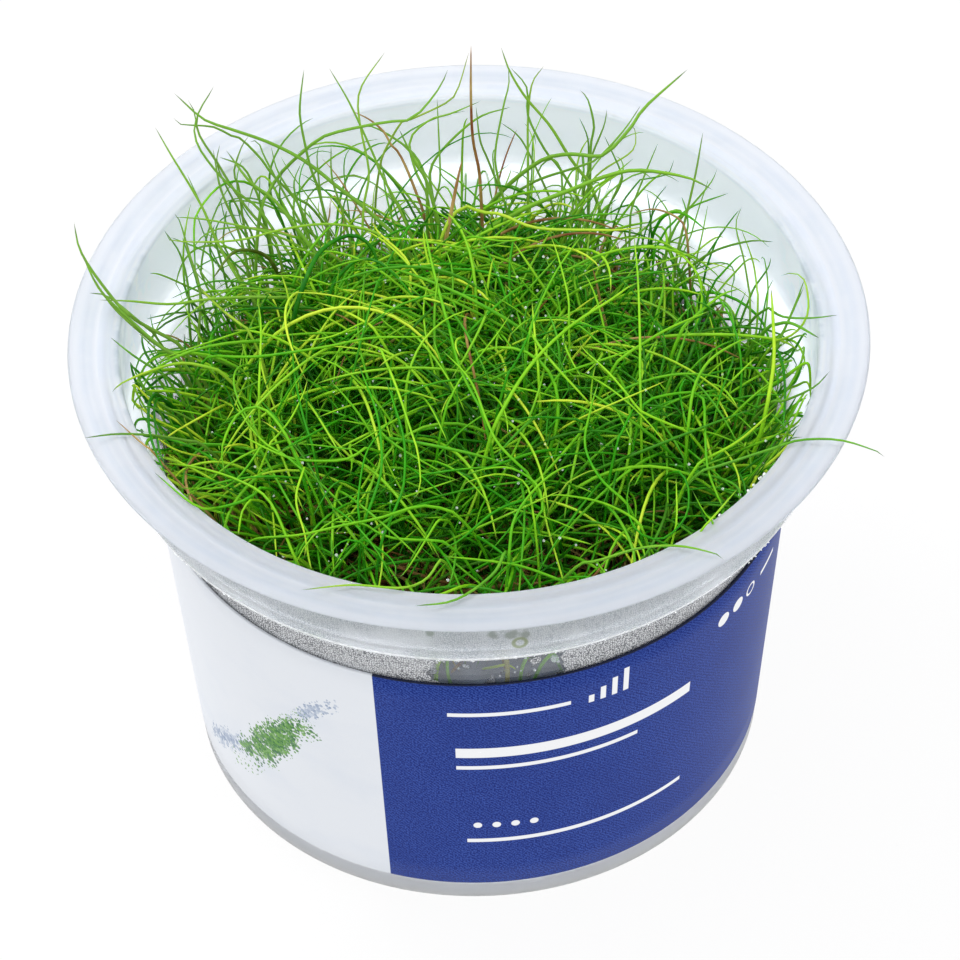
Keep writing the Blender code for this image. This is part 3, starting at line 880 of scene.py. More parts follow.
@dataclass(frozen=True)
class WetWallFinish:
    """The clear wall above the band: white beads on dark gaps, and a wiped window where the inside shows."""

    light: Colour = (0.92, 0.94, 0.97)
    dark: Colour = (0.13, 0.14, 0.16)
    glassy: Colour = (0.80, 0.84, 0.92)
    beaded_clear: float = 0.22
    window_clear: float = 0.95
    bead_scale: float = 3300.0
    gap: float = 0.05
    contrast: float = 0.95

    def build(self, effects: SharedEffects, milky: MilkyPlasticFinish, left: float, right: float) -> Material:
        """The material of the wall, which turns into the milky one at the sides.

        Args:
            effects: the shared node groups.
            milky: the finish at the sides.
            left: where the window begins, across.
            right: where it ends.

        Returns:
            The material.
        """
        material, nodes = material_nodes("wet_wall")
        place = nodes.place()
        x, y, _ = nodes.split(place)
        ragged = nodes.product(nodes.less(nodes.noise(place, 620.0, 2.0), 0.5), 7.0 * MM)
        patch = nodes.step(nodes.noise(place, 360.0, 1.0), 0.62, 0.68, 1.0, 0.0)
        window = nodes.product(nodes.between(nodes.plus(x, ragged), left, right, 0.25 * MM), patch)
        beads = nodes.group(effects.beads, Vector=place, Scale=self.bead_scale, Gap=self.gap)
        patches = thickly_beaded(nodes, place, 0.75)
        gaps = nodes.product(nodes.flip(beads["Mask"]), patches, self.contrast)
        colour = nodes.mix(window, nodes.mix(gaps, self.light, self.dark), self.glassy)
        aside = at_sides(nodes, y)
        bumps = nodes.product(beads["Height"], patches, nodes.flip(window), nodes.flip(aside))
        rough = nodes.blend(window, 0.22, 0.02)
        clear = nodes.blend(window, self.beaded_clear, self.window_clear)
        nodes.principled(
            Base_Color=nodes.mix(aside, colour, milky.milk), Roughness=nodes.blend(aside, rough, milky.satin),
            IOR=PLASTIC_IOR, Transmission_Weight=nodes.blend(aside, clear, milky.clear),
            Normal=nodes.bump(bumps, *BEAD_BUMP))
        return material


@dataclass(frozen=True)
class PrintFinish:
    """The printed band: dark blue with a fine woven grain, one pale panel and plain marks."""

    blue: Colour = (0.005, 0.020, 0.180)
    blue_light: Colour = (0.042, 0.092, 0.400)
    pale: Colour = (0.80, 0.83, 0.88)
    white: Colour = (0.93, 0.94, 0.96)
    leaf: Colour = (0.015, 0.130, 0.045)
    leaf_light: Colour = (0.20, 0.44, 0.08)
    stone: Colour = (0.22, 0.30, 0.46)
    stone_light: Colour = (0.60, 0.66, 0.76)

    def panel(self, nodes: Nodes, effects: SharedEffects, u: Socket, v: Socket) -> Socket:
        """The pale panel's colours: a faint wash, two patches of blue-grey dabs, and green dabs in two sizes.

        Args:
            nodes: the material's nodes.
            effects: the shared node groups.
            u: place round the unrolled band, in millimetres.
            v: height on it.

        Returns:
            The colour.
        """
        place = nodes.node("ShaderNodeCombineXYZ", {0: u, 1: v}).outputs[0]
        wash = nodes.step(nodes.noise(nodes.placed(place, (0.07, 0.12, 1.0)), 1.0, 4.0), 0.45, 0.75)
        colour = nodes.mix(nodes.product(wash, 0.45), self.pale, (0.70, 0.75, 0.84))
        greens, greys = (self.leaf, self.leaf_light), (self.stone, self.stone_light)
        patches = ((-40.0, 12.0, 7.0, 3.0, 0.7, 1.9, greys), (-21.0, 33.0, 5.0, 2.4, 0.9, 2.1, greys),
                   (-29.0, 21.0, 10.0, 6.0, 1.15, 1.7, greens), (-28.0, 22.5, 8.0, 4.6, 1.2, 2.6, greens))
        for centre_u, centre_v, half, tall, rise, fine, (dark, light) in patches:
            dabs = nodes.group(effects.dabs, U=u, V=v, Centre_U=centre_u, Centre_V=centre_v, Half_Width=half,
                               Half_Height=tall, Rise=rise, Fine=fine)
            paint = nodes.mix(dabs["Shade"], dark, light)
            colour = nodes.mix(nodes.product(dabs["Mask"], 0.9), colour, paint)
        return colour

    def marks(self, nodes: Nodes, effects: SharedEffects, u: Socket, v: Socket) -> Socket:
        """The white marks: plain rules, upright strokes, dots and three larger ones, one of them a ring.

        Args:
            nodes: the material's nodes.
            effects: the shared node groups.
            u: place round the unrolled band, in millimetres.
            v: height on it.

        Returns:
            The mask of all the marks.
        """
        bars = [(3.6, 38.2, 7.4, 0.35), (12.6, 30.4, 15.6, 0.95), (8.6, 27.4, 11.6, 0.35),
                (13.0, 12.2, 15.0, 0.35)]
        bars += [(13.6 + 1.5 * number, 37.9 + 0.5 * number, 0.35, 0.7 + 0.5 * number) for number in range(4)]
        bars += [(44.6, 38.5, 2.2, 0.35)]
        dots = [(33.6, 38.6, 1.05, 2.0), (36.6, 38.6, 1.05, 2.0), (39.6, 38.6, 1.05, 0.32)]
        dots += [(-0.6 + 2.4 * number, 15.4, 0.55, 1.0) for number in range(4)]
        total = 0.0
        for centre_u, centre_v, half, tall in bars:
            mask = nodes.group(effects.bar, U=u, V=v, Centre_U=centre_u, Centre_V=centre_v, Half_Width=half,
                               Half_Height=tall)["Mask"]
            total = nodes.math("MAXIMUM", total, mask)
        for centre_u, centre_v, across, line in dots:
            mask = nodes.group(effects.dot, U=u, V=v, Centre_U=centre_u, Centre_V=centre_v, Radius=across,
                               Line=line)["Mask"]
            total = nodes.math("MAXIMUM", total, mask)
        return total

    def build(self, effects: SharedEffects, sizes: "BandSizes") -> Material:
        """The material of the band.

        Args:
            effects: the shared node groups.
            sizes: where the pale panel lies on the unrolled band, in millimetres.

        Returns:
            The material.
        """
        material, nodes = material_nodes("printed_band")
        unrolled = nodes.node("ShaderNodeUVMap", uv_map="unrolled").outputs[0]
        u, v, _ = nodes.split(unrolled)
        wave = {"Vector": unrolled, "Scale": 1.15, "Distortion": 3.5, "Detail": 2.0, "Detail Scale": 2.0}
        twill = nodes.node("ShaderNodeTexWave", wave, bands_direction="DIAGONAL").outputs[1]
        speckle = nodes.noise(unrolled, 4.6, 1.0)
        woven = nodes.plus(nodes.product(twill, 0.12), nodes.product(speckle, 0.88))
        grain = nodes.step(woven, 0.40, 0.62)
        cloud = nodes.group(effects.mottle, Vector=unrolled, Scale=0.05)["Mask"]
        blue = nodes.mix(grain, self.blue, self.blue_light)
        blue = nodes.mix(nodes.product(cloud, 0.25), blue, self.blue)
        blue = nodes.mix(self.marks(nodes, effects, u, v), blue, self.white)
        on_panel = nodes.between(u, sizes.panel_end, sizes.panel_start, 0.05)
        colour = nodes.mix(on_panel, blue, self.panel(nodes, effects, u, v))
        # Painted shadow line along the band's top edge, faint on the pale panel.
        painted_edge_shadow = nodes.product(nodes.step(v, sizes.top_v - 0.20, sizes.top_v - 0.05),
                                 nodes.blend(on_panel, 0.90, 0.08))
        colour = nodes.mix(painted_edge_shadow, colour, (0.02, 0.022, 0.03))
        rough = nodes.blend(grain, 0.38, 0.50)
        nodes.principled(
            Base_Color=colour, Roughness=rough, IOR=1.45, Specular_IOR_Level=0.10,
            Normal=nodes.bump(grain, 0.12, 0.05 * MM))
        return material


@dataclass(frozen=True)
class GelFinish:
    """Cloudy growing gel."""

    cloudy: Colour = (0.62, 0.60, 0.48)
    clear: Colour = (0.78, 0.77, 0.68)

    def build(self, effects: SharedEffects) -> Material:
        """The material of the gel."""
        material, nodes = material_nodes("growing_gel")
        place = nodes.place()
        mottle = nodes.group(effects.mottle, Vector=place, Scale=90.0)["Mask"]
        ripples = nodes.noise(place, 350.0, 2.0)
        nodes.principled(
            Base_Color=nodes.mix(mottle, self.cloudy, self.clear), Roughness=nodes.blend(mottle, 0.12, 0.28),
            IOR=1.34, Transmission_Weight=0.5, Normal=nodes.bump(ripples, 0.2, 0.2 * MM))
        return material


@dataclass(frozen=True)
class RootFinish:
    """Matted roots and old leaves, from nearly black to tan, under a grey film of gel at the wall."""

    dark: Colour = (0.010, 0.007, 0.003)
    brown: Colour = (0.055, 0.030, 0.012)
    tan: Colour = (0.26, 0.17, 0.075)
    film: Colour = (0.24, 0.27, 0.36)

    def build(self, effects: SharedEffects) -> Material:
        """The material of the mat's body."""
        material, nodes = material_nodes("matted_roots")
        place = nodes.place()
        mottle = nodes.group(effects.mottle, Vector=place, Scale=160.0)["Mask"]
        fibres = nodes.noise(nodes.placed(place, (900.0, 240.0, 500.0), (0.3, 0.2, 0.9)), 1.0, 4.0)
        crossing = nodes.noise(nodes.placed(place, (260.0, 950.0, 500.0), (-0.2, 0.4, 0.5)), 1.0, 4.0)
        strands = nodes.math("MAXIMUM", nodes.step(fibres, 0.52, 0.62), nodes.step(crossing, 0.54, 0.64))
        colour = nodes.mix(mottle, self.dark, self.brown)
        colour = nodes.mix(nodes.product(strands, 0.45), colour, self.tan)
        x, y, z = nodes.split(place)
        reach = nodes.length(x, y)
        at_wall = nodes.product(nodes.step(reach, 35.2 * MM, 36.6 * MM), nodes.step(z, 38.0 * MM, 40.0 * MM),
                                nodes.step(y, -12.0 * MM, -4.0 * MM, 1.0, 0.0))
        by_window = nodes.product(in_front(nodes, y), nodes.between(x, -8.0 * MM, 12.5 * MM, 1.2 * MM))
        filmed = nodes.math("MAXIMUM", nodes.product(at_wall, 0.85), nodes.product(by_window, 0.94))
        colour = nodes.mix(filmed, colour, self.film)
        strands = nodes.product(strands, nodes.flip(by_window))
        nodes.principled(
            Base_Color=colour, Roughness=nodes.blend(strands, 0.85, 0.6), Specular_IOR_Level=0.25,
            Normal=nodes.bump(strands, 0.8, 0.4 * MM))
        return material


@dataclass(frozen=True)
class BladeFinish:
    """Moist leaves, from the tone, place along the blade, dryness and fading that each corner holds."""

    deep: Colour = (0.004, 0.120, 0.001)
    mid: Colour = (0.036, 0.370, 0.002)
    bright: Colour = (0.290, 0.680, 0.015)
    yellow: Colour = (0.640, 0.820, 0.045)
    straw: Colour = (0.50, 0.34, 0.12)
    russet: Colour = (0.20, 0.055, 0.018)
    olive: Colour = (0.200, 0.360, 0.045)
    tip: Colour = (0.075, 0.105, 0.055)
    foot: Colour = (0.22, 0.34, 0.07)
    # Strength of the painted glow of faded blades.
    painted_through_glow: float = 0.22

    def build(self, effects: SharedEffects) -> Material:
        """The material of every blade."""
        material, nodes = material_nodes("moist_blades")
        look = nodes.node("ShaderNodeAttribute", attribute_name="blade_look").outputs
        tone, along, dry = nodes.node("ShaderNodeSeparateColor", {0: look["Color"]}).outputs[:3]
        place = nodes.place()
        mottle = nodes.group(effects.mottle, Vector=place, Scale=140.0)["Mask"]
        streaks = nodes.noise(nodes.placed(place, (1500.0, 1500.0, 260.0)), 1.0, 2.0)
        shifted = nodes.plus(tone, nodes.product(nodes.less(mottle, 0.5), 0.16))
        shifted = nodes.plus(shifted, nodes.product(nodes.less(along, 0.5), 0.26))
        colour = nodes.ramp(shifted, ((0.0, self.deep), (0.40, self.mid), (0.74, self.bright),
                                      (1.0, self.yellow)))
        colour = nodes.mix(look["Alpha"], colour, self.olive)
        colour = nodes.mix(nodes.step(along, 0.0, 0.20, 0.30, 0.0), colour, self.foot)
        colour = nodes.mix(nodes.step(along, 0.93, 1.0, 0.0, 0.8), colour, self.tip)
        dead = nodes.mix(mottle, self.russet, self.straw)
        colour = nodes.mix(nodes.step(dry, 0.35, 0.75), colour, dead)
        # Lighter streaks along the blades stand in for their highlights: painted highlights.
        colour = nodes.mix(nodes.product(nodes.less(streaks, 0.5, clamp=True), 0.5), colour, self.bright)
        # Faded blades glow in their own colour: a painted glow that stands in for light through them.
        nodes.principled(
            Base_Color=colour, Roughness=nodes.blend(mottle, 0.36, 0.52), Specular_IOR_Level=0.16,
            Emission_Color=colour, Emission_Strength=nodes.product(look["Alpha"], self.painted_through_glow),
            Normal=nodes.bump(streaks, 0.25, 0.08 * MM))
        return material


@dataclass(frozen=True)
class WaterFinish:
    """Clear droplets, with a faint painted glow for their sparkle."""

    painted_sparkle_glow: float = 0.16

    def build(self, effects: SharedEffects) -> Material:
        """The material of the droplets."""
        material, nodes = material_nodes("clear_droplets")
        place = nodes.place()
        mottle = nodes.group(effects.mottle, Vector=place, Scale=400.0)["Mask"]
        nodes.principled(
            Base_Color=nodes.mix(mottle, (0.94, 0.97, 0.95), (1.0, 1.0, 1.0)),
            Roughness=nodes.blend(mottle, 0.0, 0.05), IOR=1.33, Transmission_Weight=0.85,
            Emission_Color=(0.95, 0.98, 1.0), Emission_Strength=self.painted_sparkle_glow,
            Normal=nodes.bump(mottle, 0.1, 0.05 * MM))
        return material


# Sub-assemblies

@dataclass
class CupSizes:
    """The cup's sizes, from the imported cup's box and the moulding's own proportions."""

    rim_radius: float
    rim_top: float
    label_bottom: float
    label_top: float
    wall_radius: float = 35.62 * MM
    taper: float = WALL_TAPER
    wall: float = 0.8 * MM
    floor: float = 1.2 * MM
    foot_radius: float = 35.3 * MM
    wall_top: float = 51.6 * MM
    collar_foot: float = 53.1 * MM
    collar_radius: float = 44.6 * MM
    collar_inside: float = 43.3 * MM
    ledge_top: float = 53.9 * MM
    ledge_inside: float = 40.9 * MM
    rim_thickness: float = 0.6 * MM
    window_left: float = -5.6 * MM
    window_right: float = 10.8 * MM
    mist_back: float = -3.0 * MM

    def outside(self, height: Array) -> Array:
        """Outer radius of the tapering wall: its radius at the underside + taper times height."""
        return self.wall_radius + self.taper * height

    def inside(self, height: Array) -> Array:
        """Inner radius of the wall, and of the collar above the ledge."""
        wall = self.outside(np.minimum(height, self.wall_top)) - self.wall
        return wall + (self.collar_inside - wall) * smooth(height, self.wall_top, self.ledge_top + 1.0 * MM)


@dataclass
class Cup:
    """The moulded cup: foot, tapering wall, stepped collar and the wide rim with its fine ridges."""

    sizes: CupSizes
    finish: MilkyPlasticFinish = field(default_factory=MilkyPlasticFinish)
    collar_finish: MistedCollarFinish = field(default_factory=MistedCollarFinish)
    wall_finish: WetWallFinish = field(default_factory=WetWallFinish)
    columns: int = 288

    def profile(self) -> Array:
        """Radius and height from the underside's middle, up the outside, over the rim and down inside.

        Returns:
            One pair a row.
        """
        s = self.sizes
        under = s.rim_top - s.rim_thickness
        edge = s.rim_radius
        wall = (2.4 * MM, 12.0 * MM, 30.0 * MM, s.label_top - 0.6 * MM, 48.0 * MM, s.wall_top - 0.7 * MM)
        outside = [(0.0, 0.0), (0.5 * s.foot_radius, 0.0)]
        outside += stepped(s.foot_radius, 0.0, (
            (-0.3, 0.0), (0.45, 0.02), (0.72, 0.12), (0.80, 0.4), (0.74, 0.9)))
        outside += stepped(s.outside(1.4 * MM), 1.4 * MM, ((0.02, 0.0),))
        outside += [(s.outside(z), z) for z in wall]
        outside += stepped(s.outside(s.wall_top), s.wall_top, ((0.05, 0.0), (0.35, 0.7), (1.0, 1.15)))
        outside += stepped(s.collar_radius, s.collar_foot, (
            (-1.4, -0.1), (-0.5, 0.0), (-0.05, 0.2), (0.16, 0.6), (0.08, 1.1), (0.05, 2.0)))
        outside += stepped(s.collar_radius + 0.3 * MM, under, (
            (0.0, -1.2), (0.15, -0.5), (0.6, -0.08), (1.3, 0.0)))
        outside += stepped(edge, under, ((-1.2, 0.0), (-0.75, 0.03), (-0.3, 0.24)))
        outside += stepped(edge, s.rim_top, ((-0.06, -0.22), (0.0, -0.12), (-0.06, -0.04), (-0.3, 0.0)))
        ridges = stepped(edge, s.rim_top, (
            (-1.7, 0.0), (-2.0, -0.03), (-2.3, -0.10), (-2.7, -0.12), (-3.3, -0.12), (-3.55, -0.06),
            (-3.75, -0.03), (-3.95, -0.06), (-4.2, -0.12), (-4.7, -0.12), (-4.9, -0.06), (-5.1, -0.03),
            (-5.35, -0.06), (-5.6, -0.10), (-5.9, -0.08), (-6.15, -0.10), (-6.34, -0.24), (-6.43, -0.6),
            (-6.48, -1.3)))
        inside = stepped(s.collar_inside, s.ledge_top, (
            (0.05, 2.0), (0.0, 1.1), (-0.2, 0.5), (-0.7, 0.12)))
        inside += stepped(s.ledge_inside, s.ledge_top, ((0.4, 0.0), (-0.1, -0.15), (-0.5, -0.55)))
        inside += [(s.outside(s.wall_top) - s.wall + 0.2 * MM, s.ledge_top - 1.2 * MM)]
        inside += [(s.outside(49.0 * MM) - s.wall, 49.0 * MM)]
        inside += [(s.outside(s.label_top) - s.wall, s.label_top - 0.6 * MM)]
        inside += [(s.outside(z * MM) - s.wall, z * MM) for z in (30.0, 10.0, 2.6)]
        inside += [(s.outside(1.7 * MM) - s.wall - 0.25 * MM, 1.7 * MM)]
        inside += [(s.outside(1.3 * MM) - s.wall - 0.9 * MM, s.floor)]
        inside += [(0.5 * s.foot_radius, s.floor), (0.0, s.floor)]
        return np.array(outside + ridges + inside)

    def slots(self, points: Array, faces: list[Array]) -> Array:
        """Which finish each face has: 0 milky, and in front 1 the misted collar and 2 the wet wall below.

        Args:
            points: the cup's corners.
            faces: its quads and its caps.

        Returns:
            One number for each face.
        """
        s = self.sizes
        x, y, z = np.moveaxis(points[faces[0]].mean(axis=1), -1, 0)
        ragged = 1.2 * MM * np.sin(z / (0.8 * MM)) * np.sin(z / (1.9 * MM) + x / (3.0 * MM))
        front = y + ragged < s.mist_back
        collar = front & (z > s.wall_top + 0.9 * MM) & (z < s.rim_top - s.rim_thickness - 0.2 * MM)
        collar &= np.hypot(x, y) > s.collar_inside
        wall = front & (z > s.label_top - 0.6 * MM) & (z <= s.wall_top + 0.9 * MM)
        index = np.select([wall, collar], [2, 1], 0)
        return np.concatenate((index, np.zeros(len(faces[1]), int))).astype(np.int32)

    def build(self, effects: SharedEffects) -> Piece:
        """The cup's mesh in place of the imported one."""
        points, faces = turned_body(self.profile(), self.columns)
        piece = make_piece("culture_cup", points, faces, self.finish.build(effects))
        s = self.sizes
        under = s.rim_top - s.rim_thickness
        piece.data.materials.append(self.collar_finish.build(effects, self.finish, s.collar_foot, under))
        wall = self.wall_finish.build(effects, self.finish, s.window_left, s.window_right)
        piece.data.materials.append(wall)
        piece.data.polygons.foreach_set("material_index", self.slots(points, faces))
        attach(piece, BODY)
        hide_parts("cup")
        return piece


@dataclass
class BandSizes:
    """The band on the unrolled wall, in millimetres: u runs round from -Y towards +X, and v is the height."""

    top_v: float
    girth: float
    panel_start_degrees: float = -19.0
    panel_end_degrees: float = -110.0

    @property
    def panel_start(self) -> float:
        """Where the pale panel meets the blue in front."""
        return math.radians(self.panel_start_degrees) * self.girth

    @property
    def panel_end(self) -> float:
        """Where the pale panel ends at the side."""
        return math.radians(self.panel_end_degrees) * self.girth


@dataclass
class PrintedBand:
    """The printed band, one thin sleeve with a lapped seam at the back."""

    cup: CupSizes
    finish: PrintFinish = field(default_factory=PrintFinish)
    columns: int = 240
    rows: int = 12
    stand_off: float = 0.12 * MM
    outer: float = 0.5 * MM
    lap: float = 0.12 * MM

    def build(self, effects: SharedEffects) -> Piece:
        """The band's mesh, with the unrolled wall as its UV map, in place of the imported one.

        A corner at angle a and height z is ((R + t) sin a, -(R + t) cos a, z): R is the wall's radius at z.
        """
        low, high = self.cup.label_bottom, self.cup.label_top
        girth = float(self.cup.outside((low + high) / 2.0)) / MM
        sizes = BandSizes(high / MM, girth)
        rise = np.linspace(low, high, self.rows)
        curl = 0.06 * MM
        up = np.concatenate(([low + curl], rise[1:-1], [high - curl]))
        heights = np.concatenate((up, [high], [high], up[::-1], [low], [low]))
        proud = np.concatenate((
            np.full(self.rows, self.outer), [self.outer - curl], [self.stand_off + curl],
            np.full(self.rows, self.stand_off), [self.stand_off + curl], [self.outer - curl]))
        angle = np.linspace(-math.pi, math.pi, self.columns + 1)
        radius = (self.cup.outside(heights) + proud)[:, None] * np.ones_like(angle)
        step_in = self.lap * smooth(angle, math.pi - 0.04, math.pi - 0.035)
        radius = radius - step_in[None, :] * (proud > self.stand_off + 0.1 * MM)[:, None]
        points = round_axis(radius, angle, heights[:, None])
        rows, columns = points.shape[:2]
        row = np.arange(rows)[:, None] * columns
        below = ((np.arange(rows) + 1) % rows)[:, None] * columns
        here = np.arange(columns - 1)[None, :]
        quads = np.stack((row + here, row + here + 1, below + here + 1, below + here), axis=-1).reshape(-1, 4)
        ends = np.stack((np.arange(rows)[::-1] * columns, np.arange(rows) * columns + columns - 1))
        piece = make_piece("printed_band", points.reshape(-1, 3), [quads, ends],
                           self.finish.build(effects, sizes))
        unrolled = np.stack(np.broadcast_arrays(angle[None, :] * girth, heights[:, None] / MM),
                            axis=-1).reshape(-1, 2)
        layer = piece.data.uv_layers.new(name="unrolled")
        corners = np.empty(len(piece.data.loops), np.int32)
        piece.data.loops.foreach_get("vertex_index", corners)
        layer.data.foreach_set("uv", unrolled[corners].astype(np.float32).ravel())
        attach(piece, BODY)
        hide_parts("label")
        return piece


@dataclass
class GrowingGel:
    """The layer of gel in the bottom, with an edge that creeps up the wall."""

    cup: CupSizes
    top: float
    finish: GelFinish = field(default_factory=GelFinish)
    clearance: float = 0.3 * MM

    def build(self, effects: SharedEffects) -> Piece:
        """The gel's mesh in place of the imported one."""
        low = self.cup.floor + self.clearance
        rises = np.array([1.4, 2.6, 5.0, 9.0]) * MM
        wall = [(float(self.cup.inside(low + z)) - 2.0 * self.clearance, low + z) for z in rises]
        edge = float(self.cup.inside(self.top)) - 2.0 * self.clearance
        sink = 0.6 * MM
        meniscus = [(edge - share * 3.0 * MM, self.top - sink * (1.0 - math.exp(-4.0 * share)))
                    for share in np.linspace(0, 1, 8)]
        profile = [(0.0, low), (0.5 * edge, low), (edge - 2.4 * MM, low), (edge - 1.2 * MM, low + 0.5 * MM)]
        profile += wall + meniscus + [(0.5 * edge, self.top - sink), (0.0, self.top - sink)]
        points, faces = turned_body(np.array(profile), 120)
        piece = make_piece("growing_gel_layer", points, faces, self.finish.build(effects))
        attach(piece, BODY)
        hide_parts("growing_gel")
        return piece


@dataclass
class RootMat:
    """The mat of roots and old leaves that the tufts stand in."""

    cup: CupSizes
    bottom: float
    finish: RootFinish = field(default_factory=RootFinish)
    edge_top: float = 42.0 * MM
    dome: float = 3.5 * MM
    lump: float = 0.8 * MM
    columns: int = 160

    def height(self, x: Array, y: Array) -> Array:
        """The mat's top: a dome, 1 less the square of the radius's share, with lumps that fade with it."""
        edge = self.cup.outside(self.edge_top) - self.cup.wall
        share = np.minimum(np.hypot(x, y) / edge, 1.0)
        lumps = np.sin(x / (5.1 * MM) + 0.7) * np.cos(y / (6.3 * MM) - 0.4)
        return self.edge_top + (self.dome + self.lump * lumps) * (1.0 - share**2)

    def roughened(self, x: Array, y: Array, z: Array) -> tuple[Array, Array, Array]:
        """The turned body's corners with the mat's lumps and a ragged side, made of crossing sine waves."""
        waves = np.sin(x / (1.7 * MM)) * np.sin(y / (1.9 * MM) + z / (2.3 * MM))
        waves = waves + 0.6 * np.sin((x + y) / (0.9 * MM))
        on_top = z > self.edge_top - 0.5 * MM
        shrink = 1.0 - 0.006 * (1.0 + waves) * ~on_top
        raised = np.where(on_top, self.height(x, y) + 0.25 * MM * waves, z)
        return x * shrink, y * shrink, raised

    def body(self, material: Material) -> Piece:
        """The mat's body."""
        sides = np.linspace(self.bottom, self.edge_top - 1.0 * MM, 14)
        clearance = 0.4 * MM
        edge = float(self.cup.outside(self.edge_top)) - self.cup.wall - clearance
        profile = [(0.0, self.bottom), (0.5 * edge, self.bottom)]
        profile += [(float(self.cup.outside(z)) - self.cup.wall - clearance, z) for z in sides]
        profile += [(edge * share, self.edge_top) for share in np.linspace(0.995, 0.03, 26)]
        profile += [(0.0, self.edge_top)]
        points, faces = turned_body(np.array(profile), self.columns, self.roughened)
        return make_piece("root_bed", points, faces, material)

    def build(self, effects: SharedEffects) -> Piece:
        """The mat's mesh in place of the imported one."""
        piece = self.body(self.finish.build(effects))
        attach(piece, BODY)
        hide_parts("root_mat")
        return piece


class Tone(Enum):
    """Where a blade's colour lies between deep green at 0 and yellow at 1."""

    DEEP = 0.08
    MID = 0.34
    LIVELY = 0.55
    BRIGHT = 0.74
    YELLOW = 0.93


@dataclass(frozen=True)
class Stray:
    """One blade followed on the photograph, from its tip down to where it is hidden.

    Each place is a column and a row of the photograph. Heights are above the cup's underside, in
    millimetres, and lift raises the middle of the blade. A blade without a tip's height lies on the
    clump.
    """

    places: tuple[Range, ...]
    tone: Tone
    girth: float = 1.0
    tip: float | None = None
    foot: float = 58.0
    lift: float = 0.0
    dry: float = 0.0

    @property
    def faded_and_glowing(self) -> float:
        """How pale a blade is, and its painted glow: those that stand high over the rim are, those on the
        clump aren't.
        """
        return 0.0 if self.tip is None else 0.75 * min(max((self.tip - 62.0) / 6.0, 0.0), 1.0)


